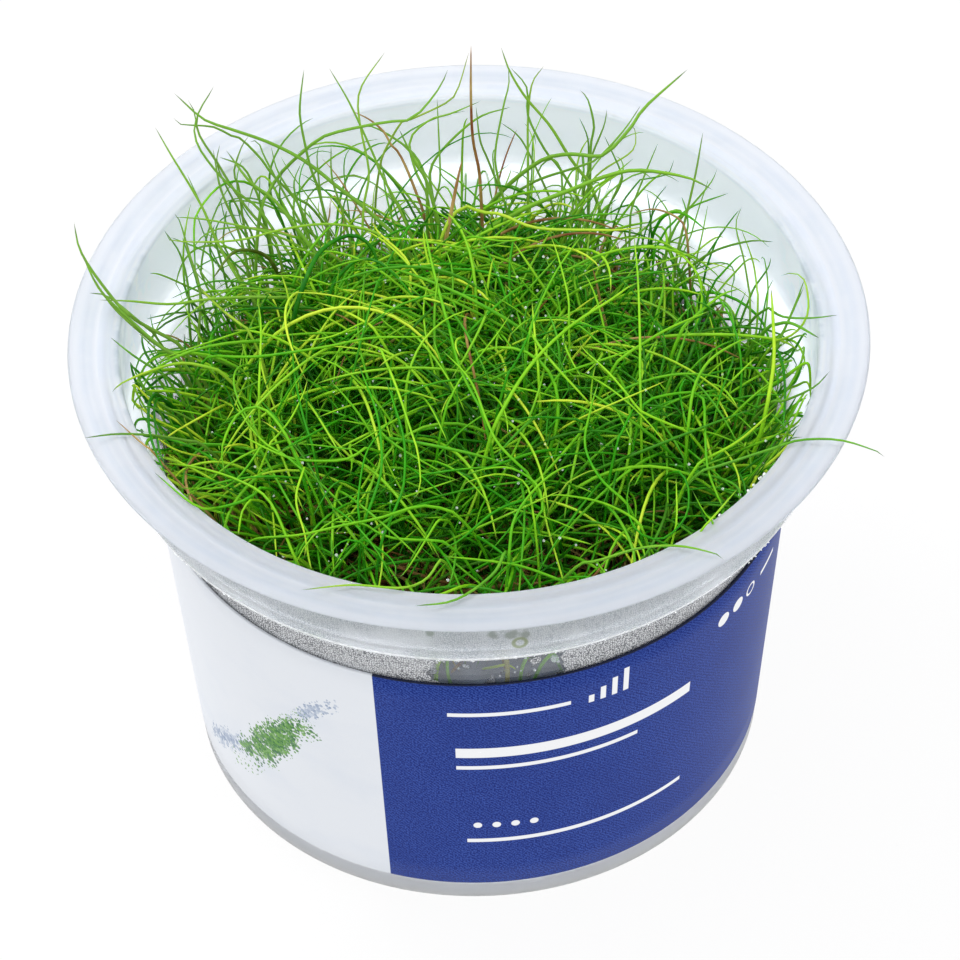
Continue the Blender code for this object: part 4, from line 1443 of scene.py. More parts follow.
STRAYS = (
    # Behind, on the left
    Stray(((155, 127), (171, 155), (190, 186), (205, 213), (218, 244), (240, 282), (250, 294)),
          Tone.LIVELY, 1, tip=75),
    Stray(((174, 93), (203, 119), (230, 129), (270, 143), (306, 162), (340, 189), (360, 204), (400, 240)),
          Tone.MID, 1.35, tip=75),
    Stray(((188, 100), (196, 115), (194, 124), (198, 146), (220, 176), (244, 198), (258, 208),
          (290, 255)), Tone.MID, 1, tip=75),
    Stray(((214, 86), (196, 124), (218, 164), (234, 190), (250, 212), (272, 236), (278, 250)), Tone.DEEP,
          1, tip=75),
    Stray(((173, 118), (180, 124), (214, 127), (230, 136), (240, 138), (262, 160), (270, 172), (294, 196),
          (310, 206)), Tone.MID, 0.9, tip=74),
    Stray(((304, 69), (300, 104), (301, 124), (310, 166), (318, 188), (326, 220)), Tone.MID, 1, tip=79),
    Stray(((329, 68), (350, 104), (374, 156), (380, 172), (396, 202), (412, 236)), Tone.LIVELY, 0.9,
          tip=79),
    Stray(((385, 52), (360, 90), (360, 124), (369, 172), (364, 204), (362, 240)), Tone.BRIGHT, 0.85,
          tip=79),
    Stray(((448, 69), (438, 90), (412, 119), (386, 122), (330, 134), (310, 146), (280, 174), (262, 204)),
          Tone.MID, 1.2, tip=76, lift=5),
    Stray(((357, 127), (376, 128), (412, 152), (426, 180), (427, 212)), Tone.MID, 1, tip=68, lift=1),
    Stray(((352, 111), (370, 120), (386, 134), (388, 142), (398, 152), (408, 172), (422, 208)), Tone.DEEP,
          1, tip=71, dry=0.75),
    Stray(((399, 129), (416, 164), (426, 180), (438, 220)), Tone.MID, 1.3, tip=69),
    Stray(((511, 107), (478, 118), (444, 148), (430, 172), (434, 204)), Tone.MID, 1, tip=71),
    Stray(((481, 101), (450, 114), (430, 120), (410, 140), (416, 172), (426, 192), (430, 212)),
          Tone.LIVELY, 0.9, tip=72),
    Stray(((437, 98), (439, 140), (440, 180), (434, 204)), Tone.LIVELY, 0.75, tip=71.2),
    Stray(((438, 166), (442, 176), (454, 188), (468, 212)), Tone.MID, 0.8, tip=63.8),
    Stray(((462, 160), (456, 188), (446, 240)), Tone.DEEP, 1.5, tip=68, dry=0.85),
    Stray(((331, 144), (332, 178), (342, 210), (352, 250)), Tone.DEEP, 0.9, tip=71.2),
    Stray(((320, 144), (317, 156), (320, 190), (326, 224)), Tone.MID, 0.8, tip=68),
    Stray(((260, 174), (260, 204), (268, 240)), Tone.DEEP, 0.8, tip=66.2),
    Stray(((187, 174), (204, 212), (214, 236)), Tone.DEEP, 0.8, tip=65.8),
    Stray(((213, 149), (221, 190), (238, 230), (246, 260)), Tone.DEEP, 1, tip=71),
    Stray(((220, 144), (217, 164), (228, 190), (250, 230)), Tone.DEEP, 0.8, tip=70),
    Stray(((226, 150), (250, 182), (274, 200), (298, 230), (320, 260)), Tone.MID, 1.35, tip=71),
    Stray(((219, 157), (238, 164), (248, 174), (260, 202), (270, 240)), Tone.MID, 1, tip=70),
    Stray(((196, 285), (194, 230), (198, 212), (220, 186), (246, 182), (270, 200), (280, 216)),
          Tone.LIVELY, 0.9, tip=59, lift=8),
    Stray(((249, 136), (242, 146), (234, 172), (239, 188), (243, 220), (248, 240)), Tone.DEEP, 0.9,
          tip=72),
    Stray(((250, 142), (258, 142), (266, 160), (290, 204), (310, 240)), Tone.MID, 0.9, tip=71),
    Stray(((282, 168), (280, 200), (292, 225)), Tone.DEEP, 0.85, tip=65.1),
    Stray(((271, 146), (278, 172), (298, 204), (316, 240)), Tone.MID, 0.85, tip=69.8),
    Stray(((301, 163), (294, 188), (308, 232)), Tone.MID, 0.85, tip=66.6),
    Stray(((364, 176), (346, 198), (341, 230)), Tone.DEEP, 0.7, tip=64.8),
    Stray(((377, 182), (374, 192), (372, 222)), Tone.BRIGHT, 0.65, tip=63),
    Stray(((374, 200), (396, 192), (424, 199), (430, 210)), Tone.LIVELY, 0.7, tip=61, lift=1),
    Stray(((164, 230), (170, 240), (210, 242), (246, 239), (280, 230), (326, 224), (370, 230),
          (384, 240)), Tone.BRIGHT, 0.9, tip=67, foot=60),
    Stray(((174, 213), (180, 222), (190, 256), (200, 290), (199, 330)), Tone.DEEP, 1, tip=68, foot=57),
    Stray(((164, 230), (180, 254), (188, 286), (189, 320)), Tone.DEEP, 0.95, tip=66, foot=57),
    Stray(((182, 237), (194, 272), (203, 304)), Tone.MID, 0.9, tip=65.4, foot=57),
    Stray(((170, 237), (202, 250), (212, 260), (214, 284)), Tone.MID, 0.8, tip=65),
    Stray(((170, 299), (210, 282), (246, 283), (262, 290)), Tone.DEEP, 0.8, tip=64, foot=60),
    Stray(((212, 280), (234, 252), (258, 252), (270, 260)), Tone.DEEP, 1.4, tip=61, lift=2, dry=0.5),
    Stray(((382, 282), (372, 248), (350, 235), (320, 252), (302, 290), (294, 318)), Tone.DEEP, 1.7,
          tip=60, foot=61, lift=5),
    Stray(((420, 310), (408, 290), (382, 264), (358, 260), (336, 280), (330, 296)), Tone.DEEP, 1.2,
          tip=62, foot=61, lift=3),
    Stray(((370, 218), (380, 234), (408, 262), (410, 294)), Tone.YELLOW, 1.1, tip=63, foot=61),
    # Behind, on the right
    Stray(((471, 45), (471, 100), (473, 140), (479, 170), (481, 196)), Tone.DEEP, 1.1, tip=81, foot=60,
          dry=0.95),
    Stray(((469, 52), (456, 93), (440, 106), (400, 124)), Tone.BRIGHT, 0.8, tip=81, foot=70, dry=0.45),
    Stray(((501, 47), (510, 72), (526, 98), (550, 126), (570, 158), (590, 184)), Tone.LIVELY, 1.15,
          tip=80, foot=60),
    Stray(((510, 67), (527, 88), (528, 116), (546, 152), (558, 166), (578, 198)), Tone.MID, 0.95, tip=77),
    Stray(((544, 66), (532, 84), (528, 120), (528, 160), (528, 204)), Tone.BRIGHT, 0.9, tip=77),
    Stray(((508, 64), (509, 84), (504, 104), (496, 146), (496, 168), (506, 208)), Tone.LIVELY, 0.85,
          tip=77),
    Stray(((500, 122), (520, 138), (536, 168), (550, 198)), Tone.DEEP, 0.85, tip=67.5),
    Stray(((476, 106), (480, 140), (488, 160), (504, 200)), Tone.DEEP, 0.9, tip=69.8),
    Stray(((688, 69), (644, 108), (632, 126), (608, 152), (594, 157), (578, 154), (546, 158), (514, 180),
          (490, 204)), Tone.MID, 1.4, tip=76, foot=57, lift=4),
    Stray(((641, 105), (624, 130), (598, 158), (580, 166), (540, 179), (520, 190)), Tone.MID, 0.95,
          tip=72, lift=2),
    Stray(((607, 109), (604, 126), (592, 156), (584, 190)), Tone.DEEP, 0.9, tip=70),
    Stray(((580, 90), (588, 100), (594, 126), (591, 144), (590, 180)), Tone.MID, 1, tip=71),
    Stray(((579, 117), (588, 140), (588, 174)), Tone.DEEP, 0.8, tip=67),
    Stray(((604, 135), (621, 172), (621, 184), (610, 204)), Tone.DEEP, 0.8, tip=66.6),
    Stray(((630, 125), (635, 130), (633, 150), (606, 168), (594, 178)), Tone.BRIGHT, 0.75, tip=67),
    Stray(((634, 158), (610, 178), (594, 188), (574, 212)), Tone.LIVELY, 0.9, tip=64.8),
    Stray(((658, 143), (646, 172), (632, 208), (630, 226)), Tone.MID, 0.8, tip=68.4),
    Stray(((703, 132), (696, 172), (688, 208), (678, 250)), Tone.DEEP, 0.95, tip=71),
    Stray(((717, 169), (710, 184), (680, 220), (670, 240)), Tone.MID, 0.9, tip=66.9),
    Stray(((729, 193), (690, 208), (666, 230)), Tone.MID, 0.8, tip=62.6),
    Stray(((713, 190), (686, 177), (638, 170), (606, 176), (570, 190), (530, 206), (494, 226)),
          Tone.LIVELY, 1.6, tip=67, lift=4),
    Stray(((674, 159), (667, 174), (640, 180)), Tone.DEEP, 0.7, tip=64),
    Stray(((647, 192), (650, 212), (651, 226)), Tone.DEEP, 0.7, tip=62.2),
    Stray(((668, 184), (655, 202), (650, 228)), Tone.DEEP, 0.65, tip=63.5),
    Stray(((668, 200), (658, 204), (646, 230)), Tone.DEEP, 0.65, tip=61.8),
    Stray(((630, 214), (654, 209), (678, 218), (686, 232), (689, 260)), Tone.DEEP, 0.9, tip=61, foot=57,
          lift=3, dry=0.8),
    Stray(((707, 231), (688, 216), (674, 212), (662, 218), (654, 232)), Tone.MID, 1.2, tip=62, foot=57,
          lift=2),
    Stray(((708, 204), (702, 236), (698, 252)), Tone.LIVELY, 0.65, tip=64),
    Stray(((722, 230), (712, 252), (706, 270)), Tone.DEEP, 0.85, tip=62, foot=57),
    Stray(((774, 242), (750, 241), (714, 251), (686, 270)), Tone.DEEP, 1, tip=66, lift=1.5),
    Stray(((742, 206), (736, 226), (744, 260), (750, 296)), Tone.LIVELY, 0.75, tip=68, foot=57),
    Stray(((741, 228), (753, 262), (758, 296)), Tone.BRIGHT, 0.75, tip=65, foot=57),
    Stray(((771, 257), (768, 268), (754, 288)), Tone.MID, 0.85, tip=65),
    Stray(((761, 260), (764, 257), (768, 286), (766, 316)), Tone.LIVELY, 0.7, tip=64, foot=57),
    Stray(((774, 278), (768, 290), (765, 304)), Tone.MID, 0.7, tip=63, foot=60),
    Stray(((747, 257), (738, 257), (716, 280)), Tone.MID, 0.9, tip=62),
    Stray(((650, 226), (620, 230), (590, 230), (536, 228), (500, 214), (482, 213), (468, 206), (456, 212),
          (446, 226)), Tone.YELLOW, 1.15, tip=65, foot=60, lift=1),
    # On the left
    Stray(((74, 222), (80, 250), (100, 282), (130, 316), (176, 342)), Tone.DEEP, 1.25, tip=72, foot=60),
    Stray(((81, 252), (100, 290), (130, 320), (162, 348), (176, 356)), Tone.MID, 1.15, tip=71, foot=60),
    Stray(((90, 273), (114, 308), (150, 340), (166, 350)), Tone.DEEP, 1, tip=70, foot=60),
    Stray(((89, 293), (110, 298), (154, 334)), Tone.DEEP, 0.9, tip=68, foot=60),
    Stray(((99, 300), (130, 301), (170, 304), (210, 299), (250, 297), (290, 298)), Tone.LIVELY, 1.1,
          tip=68, foot=60),
    Stray(((110, 337), (134, 356), (164, 375)), Tone.MID, 0.95, tip=66, foot=60),
    Stray(((112, 392), (122, 383), (150, 371), (182, 363), (216, 369)), Tone.BRIGHT, 1.1, tip=65.5,
          foot=61),
    Stray(((130, 361), (142, 384), (152, 398)), Tone.DEEP, 0.9, tip=65, foot=60),
    Stray(((131, 382), (140, 382), (170, 373)), Tone.DEEP, 0.8, tip=65, foot=60),
    Stray(((138, 408), (150, 407), (176, 417)), Tone.DEEP, 0.9, tip=65, foot=60),
    Stray(((116, 420), (138, 440), (152, 451)), Tone.YELLOW, 0.8, tip=65.5, foot=60, dry=0.7),
    Stray(((84, 438), (118, 434), (158, 436), (200, 443)), Tone.DEEP, 1, tip=66, foot=61),
    Stray(((146, 319), (174, 313), (188, 313)), Tone.DEEP, 0.8, tip=64.5, foot=60),
    Stray(((150, 325), (164, 320), (190, 302)), Tone.DEEP, 0.8, tip=64.5, foot=60),
    Stray(((181, 282), (186, 290), (190, 300)), Tone.DEEP, 0.7, tip=62),
    Stray(((168, 480), (151, 438), (149, 404), (156, 394)), Tone.MID, 1.3),
    Stray(((166, 468), (159, 448), (154, 410), (158, 398)), Tone.MID, 1),
    Stray(((154, 472), (190, 502), (210, 509), (246, 500), (260, 488)), Tone.BRIGHT, 1.2),
    # On the right
    Stray(((780, 276), (794, 273), (805, 282), (808, 312), (796, 332), (775, 342)), Tone.BRIGHT, 0.85,
          tip=65, foot=60, lift=2),
    Stray(((805, 278), (794, 308), (778, 344)), Tone.MID, 1.05, tip=67, foot=60),
    Stray(((804, 287), (786, 326), (778, 340)), Tone.MID, 0.9, tip=66, foot=60),
    Stray(((838, 315), (812, 318), (784, 317), (768, 308)), Tone.MID, 0.95, tip=66, foot=61),
    Stray(((819, 338), (790, 323), (770, 326)), Tone.MID, 1.3, tip=65.5, foot=61),
    Stray(((830, 371), (814, 387), (786, 400), (772, 402)), Tone.DEEP, 1, tip=66, foot=61),
    Stray(((887, 457), (876, 451), (840, 440), (800, 440), (774, 448), (740, 459), (700, 472)), Tone.MID,
          0.95, tip=65.5, foot=61, lift=1.5),
    Stray(((803, 437), (790, 439), (770, 452)), Tone.DEEP, 0.9, tip=65, foot=60),
    Stray(((794, 437), (780, 422), (772, 414)), Tone.DEEP, 0.9, tip=64, foot=60),
    Stray(((771, 288), (773, 316), (774, 360), (768, 402)), Tone.BRIGHT, 1.4, tip=62, foot=61, lift=1),
    Stray(((783, 430), (785, 396), (783, 366), (777, 350)), Tone.MID, 1.1),
    # In front, over the rim
    Stray(((414, 606), (455, 600), (492, 575), (505, 552)), Tone.MID, 1.1, tip=65.2, foot=61, lift=1.2),
    Stray(((301, 590), (352, 585), (400, 588), (425, 580), (440, 560)), Tone.BRIGHT, 0.9, tip=65.3,
          foot=61, lift=1),
    Stray(((724, 560), (716, 554), (680, 546), (640, 548), (600, 560), (580, 564)), Tone.LIVELY, 1,
          tip=65.3, foot=61, lift=1.2),
    # On the clump, from left to right
    Stray(((198, 286), (220, 308), (248, 330)), Tone.YELLOW, 1.1, dry=0.5),
    Stray(((226, 480), (222, 448), (238, 414), (262, 408), (284, 432), (300, 466)), Tone.BRIGHT, 1.3,
          lift=3),
    Stray(((236, 430), (250, 440), (290, 458), (330, 461), (350, 458), (366, 448)), Tone.BRIGHT, 1.1),
    Stray(((231, 393), (248, 424), (266, 444), (286, 456), (304, 472)), Tone.BRIGHT, 1),
    Stray(((164, 463), (200, 468), (240, 481), (270, 502), (294, 556)), Tone.YELLOW, 1.1, lift=1),
    Stray(((174, 488), (220, 488), (238, 478), (262, 446)), Tone.BRIGHT, 0.9),
    Stray(((258, 300), (261, 330), (259, 388)), Tone.YELLOW, 1, dry=0.35),
    Stray(((292, 330), (294, 370), (302, 412), (312, 444)), Tone.LIVELY, 1),
    Stray(((308, 376), (304, 392), (290, 420), (270, 444)), Tone.YELLOW, 0.9),
    Stray(((450, 336), (410, 337), (370, 338), (330, 346), (280, 354), (250, 357), (210, 356)),
          Tone.BRIGHT, 1.1, lift=1),
    Stray(((290, 342), (330, 337), (362, 323)), Tone.YELLOW, 0.9),
    Stray(((316, 302), (346, 312), (372, 326)), Tone.YELLOW, 1.2),
    Stray(((410, 504), (420, 488), (418, 454), (410, 428), (396, 386), (380, 348)), Tone.YELLOW, 1,
          lift=1),
    Stray(((358, 363), (377, 414), (382, 460), (378, 484), (366, 518)), Tone.LIVELY, 1.1, lift=1),
    Stray(((385, 378), (392, 398), (404, 440), (404, 482), (398, 502), (382, 540)), Tone.LIVELY, 1.1),
    Stray(((398, 412), (374, 440), (364, 460), (358, 500), (359, 516)), Tone.LIVELY, 0.9),
    Stray(((303, 562), (306, 540), (296, 500), (304, 468)), Tone.YELLOW, 1, lift=1),
    Stray(((318, 522), (360, 523), (380, 534), (400, 539), (442, 541)), Tone.BRIGHT, 1.1),
    Stray(((246, 543), (260, 538), (300, 535), (340, 526), (380, 518), (420, 506), (450, 510)),
          Tone.BRIGHT, 1.1, lift=1),
    Stray(((238, 536), (242, 512), (250, 500)), Tone.YELLOW, 1),
    Stray(((396, 580), (408, 568), (438, 520)), Tone.BRIGHT, 1),
    Stray(((394, 580), (396, 568), (388, 556), (366, 540)), Tone.LIVELY, 0.9),
    Stray(((330, 558), (334, 548), (346, 540), (360, 542)), Tone.LIVELY, 0.9),
    Stray(((312, 518), (330, 488), (342, 481)), Tone.MID, 0.9),
    Stray(((294, 448), (302, 444), (356, 450)), Tone.BRIGHT, 0.8),
    Stray(((424, 226), (432, 264), (444, 310), (450, 330)), Tone.BRIGHT, 1.2, lift=1),
    Stray(((440, 304), (448, 324), (460, 368), (482, 412)), Tone.BRIGHT, 1.2),
    Stray(((440, 348), (470, 380), (488, 424), (500, 446), (528, 474)), Tone.BRIGHT, 1.1, lift=1),
    Stray(((513, 310), (500, 330), (480, 356), (460, 380), (446, 408)), Tone.BRIGHT, 0.9),
    Stray(((560, 230), (510, 241), (470, 236)), Tone.BRIGHT, 0.9),
    Stray(((584, 232), (556, 272), (534, 318), (528, 340)), Tone.BRIGHT, 1),
    Stray(((550, 234), (558, 256), (568, 296), (569, 316)), Tone.YELLOW, 0.9, dry=0.3),
    Stray(((532, 300), (534, 326), (538, 366)), Tone.YELLOW, 1.1, dry=0.35),
    Stray(((540, 310), (518, 358), (508, 374)), Tone.LIVELY, 1.1),
    Stray(((634, 234), (638, 280), (640, 340), (640, 370), (641, 414)), Tone.YELLOW, 1, lift=2),
    Stray(((647, 280), (630, 286), (612, 299), (576, 322), (546, 348), (520, 380), (494, 426)),
          Tone.YELLOW, 1.35, lift=2),
    Stray(((579, 340), (584, 350), (608, 372), (632, 400), (642, 412), (688, 432)), Tone.YELLOW, 1,
          lift=1),
    Stray(((698, 440), (688, 428), (680, 394), (684, 380)), Tone.LIVELY, 1),
    Stray(((754, 339), (740, 341), (710, 360), (694, 388), (688, 428)), Tone.BRIGHT, 1.25, lift=2),
    Stray(((712, 310), (670, 328), (636, 348), (618, 361)), Tone.BRIGHT, 1.2, lift=1),
    Stray(((666, 340), (614, 356), (560, 374)), Tone.BRIGHT, 1),
    Stray(((649, 366), (640, 358), (608, 348), (580, 326)), Tone.BRIGHT, 0.8),
    Stray(((640, 354), (616, 336), (580, 323)), Tone.LIVELY, 0.9),
    Stray(((722, 506), (708, 470), (705, 430), (702, 396), (680, 393), (648, 400), (642, 409)),
          Tone.BRIGHT, 1.1, lift=1),
    Stray(((646, 396), (636, 404), (618, 440)), Tone.LIVELY, 1.1),
    Stray(((599, 380), (590, 412), (585, 446), (600, 478), (626, 502)), Tone.BRIGHT, 1.1),
    Stray(((510, 420), (540, 417), (580, 420)), Tone.MID, 1.1),
    Stray(((466, 476), (480, 470), (510, 468), (536, 484), (543, 508), (538, 516)), Tone.BRIGHT, 1.1,
          lift=1),
    Stray(((460, 488), (470, 481), (500, 474), (526, 484), (534, 518)), Tone.YELLOW, 0.9),
    Stray(((587, 462), (560, 469), (534, 490), (514, 520), (509, 556)), Tone.BRIGHT, 1.2, lift=1),
    Stray(((604, 470), (590, 471), (568, 482)), Tone.YELLOW, 0.8, dry=0.5),
    Stray(((631, 478), (627, 502), (636, 530), (662, 539), (686, 516), (688, 486), (680, 472)),
          Tone.LIVELY, 0.9),
    Stray(((676, 476), (677, 510), (676, 526)), Tone.YELLOW, 0.9, dry=0.3),
    Stray(((691, 488), (704, 512), (712, 520)), Tone.BRIGHT, 0.9),
    Stray(((540, 498), (560, 495), (600, 502), (630, 516), (642, 528)), Tone.BRIGHT, 1.1),
    Stray(((440, 550), (460, 540), (494, 512), (522, 500)), Tone.LIVELY, 1.2),
    Stray(((440, 556), (480, 560), (520, 566), (560, 580)), Tone.BRIGHT, 1.1),
    Stray(((546, 548), (536, 556), (508, 565)), Tone.LIVELY, 0.9),
    Stray(((740, 486), (716, 514), (704, 527)), Tone.YELLOW, 0.9, dry=0.4),
    Stray(((780, 404), (740, 440), (700, 462)), Tone.YELLOW, 1.2),
    Stray(((742, 288), (720, 296), (684, 326)), Tone.BRIGHT, 1.4),
)


@dataclass(frozen=True)
class WallBlade:
    """One blade that stands against the clear wall in front: places across and heights, in millimetres."""

    places: tuple[Range, ...]
    tone: Tone
    girth: float = 1.0
    dry: float = 0.0


WALL_BLADES = (
    WallBlade(((-7.2, 42.0), (-6.9, 46.0), (-6.2, 50.0), (-5.4, 54.0)), Tone.DEEP),
    WallBlade(((-5.2, 42.0), (-5.0, 46.0), (-4.4, 49.0), (-4.6, 53.5)), Tone.BRIGHT, 1.5),
    WallBlade(((-3.2, 42.0), (-3.7, 45.5), (-3.4, 49.0), (-2.0, 52.5)), Tone.LIVELY, 1.1),
    WallBlade(((3.5, 42.0), (3.6, 46.0), (3.2, 50.0), (2.6, 55.0)), Tone.YELLOW, 1.6, 0.6),
    WallBlade(((5.0, 42.0), (5.5, 46.0), (6.6, 49.0), (7.2, 53.0)), Tone.LIVELY, 1.2),
    WallBlade(((6.6, 42.0), (7.8, 45.5), (9.6, 48.0), (11.6, 49.6)), Tone.LIVELY, 1.2),
    WallBlade(((10.6, 42.0), (9.6, 46.0), (9.0, 50.0), (9.2, 54.0)), Tone.MID, 1.0),
)


@dataclass(frozen=True)
class Layer:
    """One crowd of blades, in ranges from which each blade draws its own values.

    Lengths and heights are in millimetres and angles in degrees. Lean is the tilt at the foot, bend what
    it gains by the tip, and curl how far the heading turns. A layer with a fan's middle grows from there
    and heads one way, and one without grows from the bunches all over the mat.
    """

    name: str
    count: int
    length: Range
    lean: Range
    bend: Range
    curl: float
    tone: Range
    girth: Range
    ceiling: Range
    dry_share: float = 0.0
    faded_and_glowing: Range = (0.0, 0.12)
    fan: Range | None = None
    heading: float = 0.0
    spread: float = 0.0
    sides: int = 5
    sections: int = 14


def fan(name: str, place: Range, count: int, heading: float, spread: float,
        length: Range, lean: Range, bend: Range) -> Layer:
    """A loose fan of thin olive stems at the clump's edge that stands clear of the skyline.

    Args:
        name: what the fan is called in the log.
        place: its middle on the mat, in millimetres.
        count: how many stems.
        heading: the way they head, in degrees from +X.
        spread: how far they stray from it.
        length: range of their lengths.
        lean: range of their tilts at the foot.
        bend: range of what they gain by the tip.

    Returns:
        The layer.
    """
    return Layer(name, count, length, lean, bend, 70, (0.20, 0.75), (0.5, 0.85), (66, 78), 0.03,
                 (0.1, 0.8), place, heading, spread, sections=20)


LAYERS = (
    Layer("undergrowth", 1250, (8, 22), (5, 50), (0, 90), 60, (0.0, 0.18), (0.7, 1.05), (52, 60),
          0.05, sides=4, sections=10),
    Layer("main growth", 1900, (16, 38), (2, 32), (10, 115), 65, (0.0, 0.60), (0.7, 1.15), (57, 67),
          0.015, sections=16),
    Layer("tall growth", 430, (24, 46), (3, 30), (30, 130), 70, (0.16, 0.78), (0.7, 1.15), (62, 69),
          0.015, (0.0, 0.25), sections=20),
    Layer("top arcs", 230, (30, 54), (5, 32), (70, 150), 80, (0.36, 0.84), (0.75, 1.2), (63, 68),
          0.02, (0.0, 0.2), sections=22),
    Layer("old leaves", 320, (10, 26), (30, 80), (0, 60), 70, (0.6, 1.0), (0.8, 1.3), (48, 57),
          1.0, sides=4, sections=11),
    fan("back left fan", (-13, 23), 36, 165, 34, (21, 40), (8, 42), (20, 115)),
    fan("far left fan", (-24, 16), 30, 158, 36, (17, 34), (8, 44), (20, 115)),
    fan("left fan", (-33, 3), 24, 178, 45, (14, 28), (5, 40), (20, 120)),
    fan("back middle fan", (-2, 26), 34, 110, 75, (19, 37), (3, 34), (45, 150)),
    fan("right of middle fan", (12, 24), 32, 70, 70, (18, 35), (3, 36), (45, 150)),
    fan("back right fan", (23, 19), 30, 42, 60, (15, 30), (6, 42), (35, 140)),
    fan("back left arcs", (-17, 21), 20, 150, 55, (30, 46), (10, 45), (70, 150)),
    fan("back right arcs", (12, 24), 12, 60, 80, (28, 42), (10, 40), (70, 150)),
    fan("right fan", (33, 4), 26, 8, 55, (13, 27), (5, 40), (30, 130)),
    fan("front right fan", (34, -11), 16, -12, 45, (12, 22), (5, 35), (10, 100)),
    fan("front left fan", (-34, -9), 16, 188, 45, (12, 22), (5, 35), (10, 100)),
    Layer("dead stems on the left", 70, (8, 19), (10, 60), (0, 70), 60, (0.6, 1.0), (0.7, 1.2), (52, 60),
          0.9, fan=(-29, -17), heading=205, spread=120),
    Layer("dead stems in front", 70, (8, 18), (15, 65), (0, 70), 60, (0.6, 1.0), (0.7, 1.2), (50, 58),
          0.9, fan=(3, -25), heading=-90, spread=120),
)


@dataclass(frozen=True)
class Skyline:
    """How high the dense growth stands, seen as the photograph's camera sees it, in millimetres.

    The line gives the height over y = 30 mm for places across the clump. Towards the front the growth may
    stand higher by the slope of the view.
    """

    across: tuple[float, ...] = (-42.0, -35.0, -22.0, -10.0, -3.0, 10.0, 19.0, 24.0, 29.0, 33.0, 39.0)
    heights: tuple[float, ...] = (32.0, 41.0, 51.5, 56.0, 58.5, 58.0, 56.0, 51.5, 47.0, 43.5, 32.0)
    base_y: float = 30.0
    view_slope: float = 1.03

    def height(self, x: Array, y: Array) -> Array:
        """Height of the growth over places on the mat."""
        line = np.interp(x / MM, self.across, self.heights)
        return (line + self.view_slope * (self.base_y - y / MM)) * MM

    def deep_part(self, x: Array, y: Array) -> Array:
        """How deep in shade places are, from 0 to 1: most in front of the middle, e^-(a^2 + b^2)."""
        return np.exp(-(((x - 8.0 * MM) / (20.0 * MM)) ** 2) - ((y + 13.0 * MM) / (16.0 * MM)) ** 2)

    def painted_light_and_shade(self, x: Array, y: Array) -> Array:
        """Painted light and shade in the blades' tones: what a place adds, less in the deep part, more at the
        left and back.
        """
        aside = 0.12 * smooth(-x, 18.0 * MM, 32.0 * MM) + 0.10 * smooth(y, 2.0 * MM, 20.0 * MM)
        return aside - 0.15 * self.deep_part(x, y)

    def density(self, x: Array, y: Array) -> Array:
        """Share of the blades kept: fewer by the front edge and its left, where the old leaves show."""
        front = 0.24 + 0.76 * smooth(y, -29.0 * MM, -9.0 * MM)
        front = front * (1.0 - 0.65 * smooth(-x, 20.0 * MM, 30.0 * MM) * smooth(-y, 9.0 * MM, 17.0 * MM))
        room = self.height(x, y) - 44.0 * MM
        return front * (1.0 - 0.2 * self.deep_part(x, y)) * smooth(room, 0.0, 9.0 * MM)


@dataclass
class Crowd:
    """Blades held as arrays: their paths, thickness, tone, dryness and fading."""

    paths: Array
    girth: Array
    tone: Array
    dry: Array
    faded_and_glowing: Array
    sides: int = 5

    def part(self, chosen: Array) -> "Crowd":
        """The chosen blades."""
        kept = (self.paths, self.girth, self.tone, self.dry, self.faded_and_glowing)
        return Crowd(*[values[chosen] for values in kept], self.sides)

    def mesh(self, base_radius: float) -> tuple[Array, list[Array], Array]:
        """Tubes for the blades, and each corner's look.

        The radius is the base radius times the girth, thins to 0.85 at the foot and to 0.7 near the tip,
        and over the last sixth falls to nothing as a square root.

        Args:
            base_radius: a plain blade's radius.

        Returns:
            The corners, the faces, and tone, place along, dryness and fading for each corner.
        """
        share = np.linspace(0.0, 1.0, self.paths.shape[1])
        taper = (0.85 + 0.15 * smooth(share, 0.0, 0.3)) * (1.0 - 0.3 * smooth(share, 0.4, 1.0))
        taper *= np.sqrt(np.clip((1.01 - share) / 0.16, 0.0, 1.0))
        radii = base_radius * self.girth[:, None] * taper[None, :]
        points, faces = carried_tubes(self.paths, radii, self.sides)
        along = np.concatenate((np.repeat(share[1:-1], self.sides), [0.0, 1.0]))
        parts = (self.tone[:, None], along[None, :], self.dry[:, None], self.faded_and_glowing[:, None])
        return points, faces, np.stack(np.broadcast_arrays(*parts), axis=-1).reshape(-1, 4)


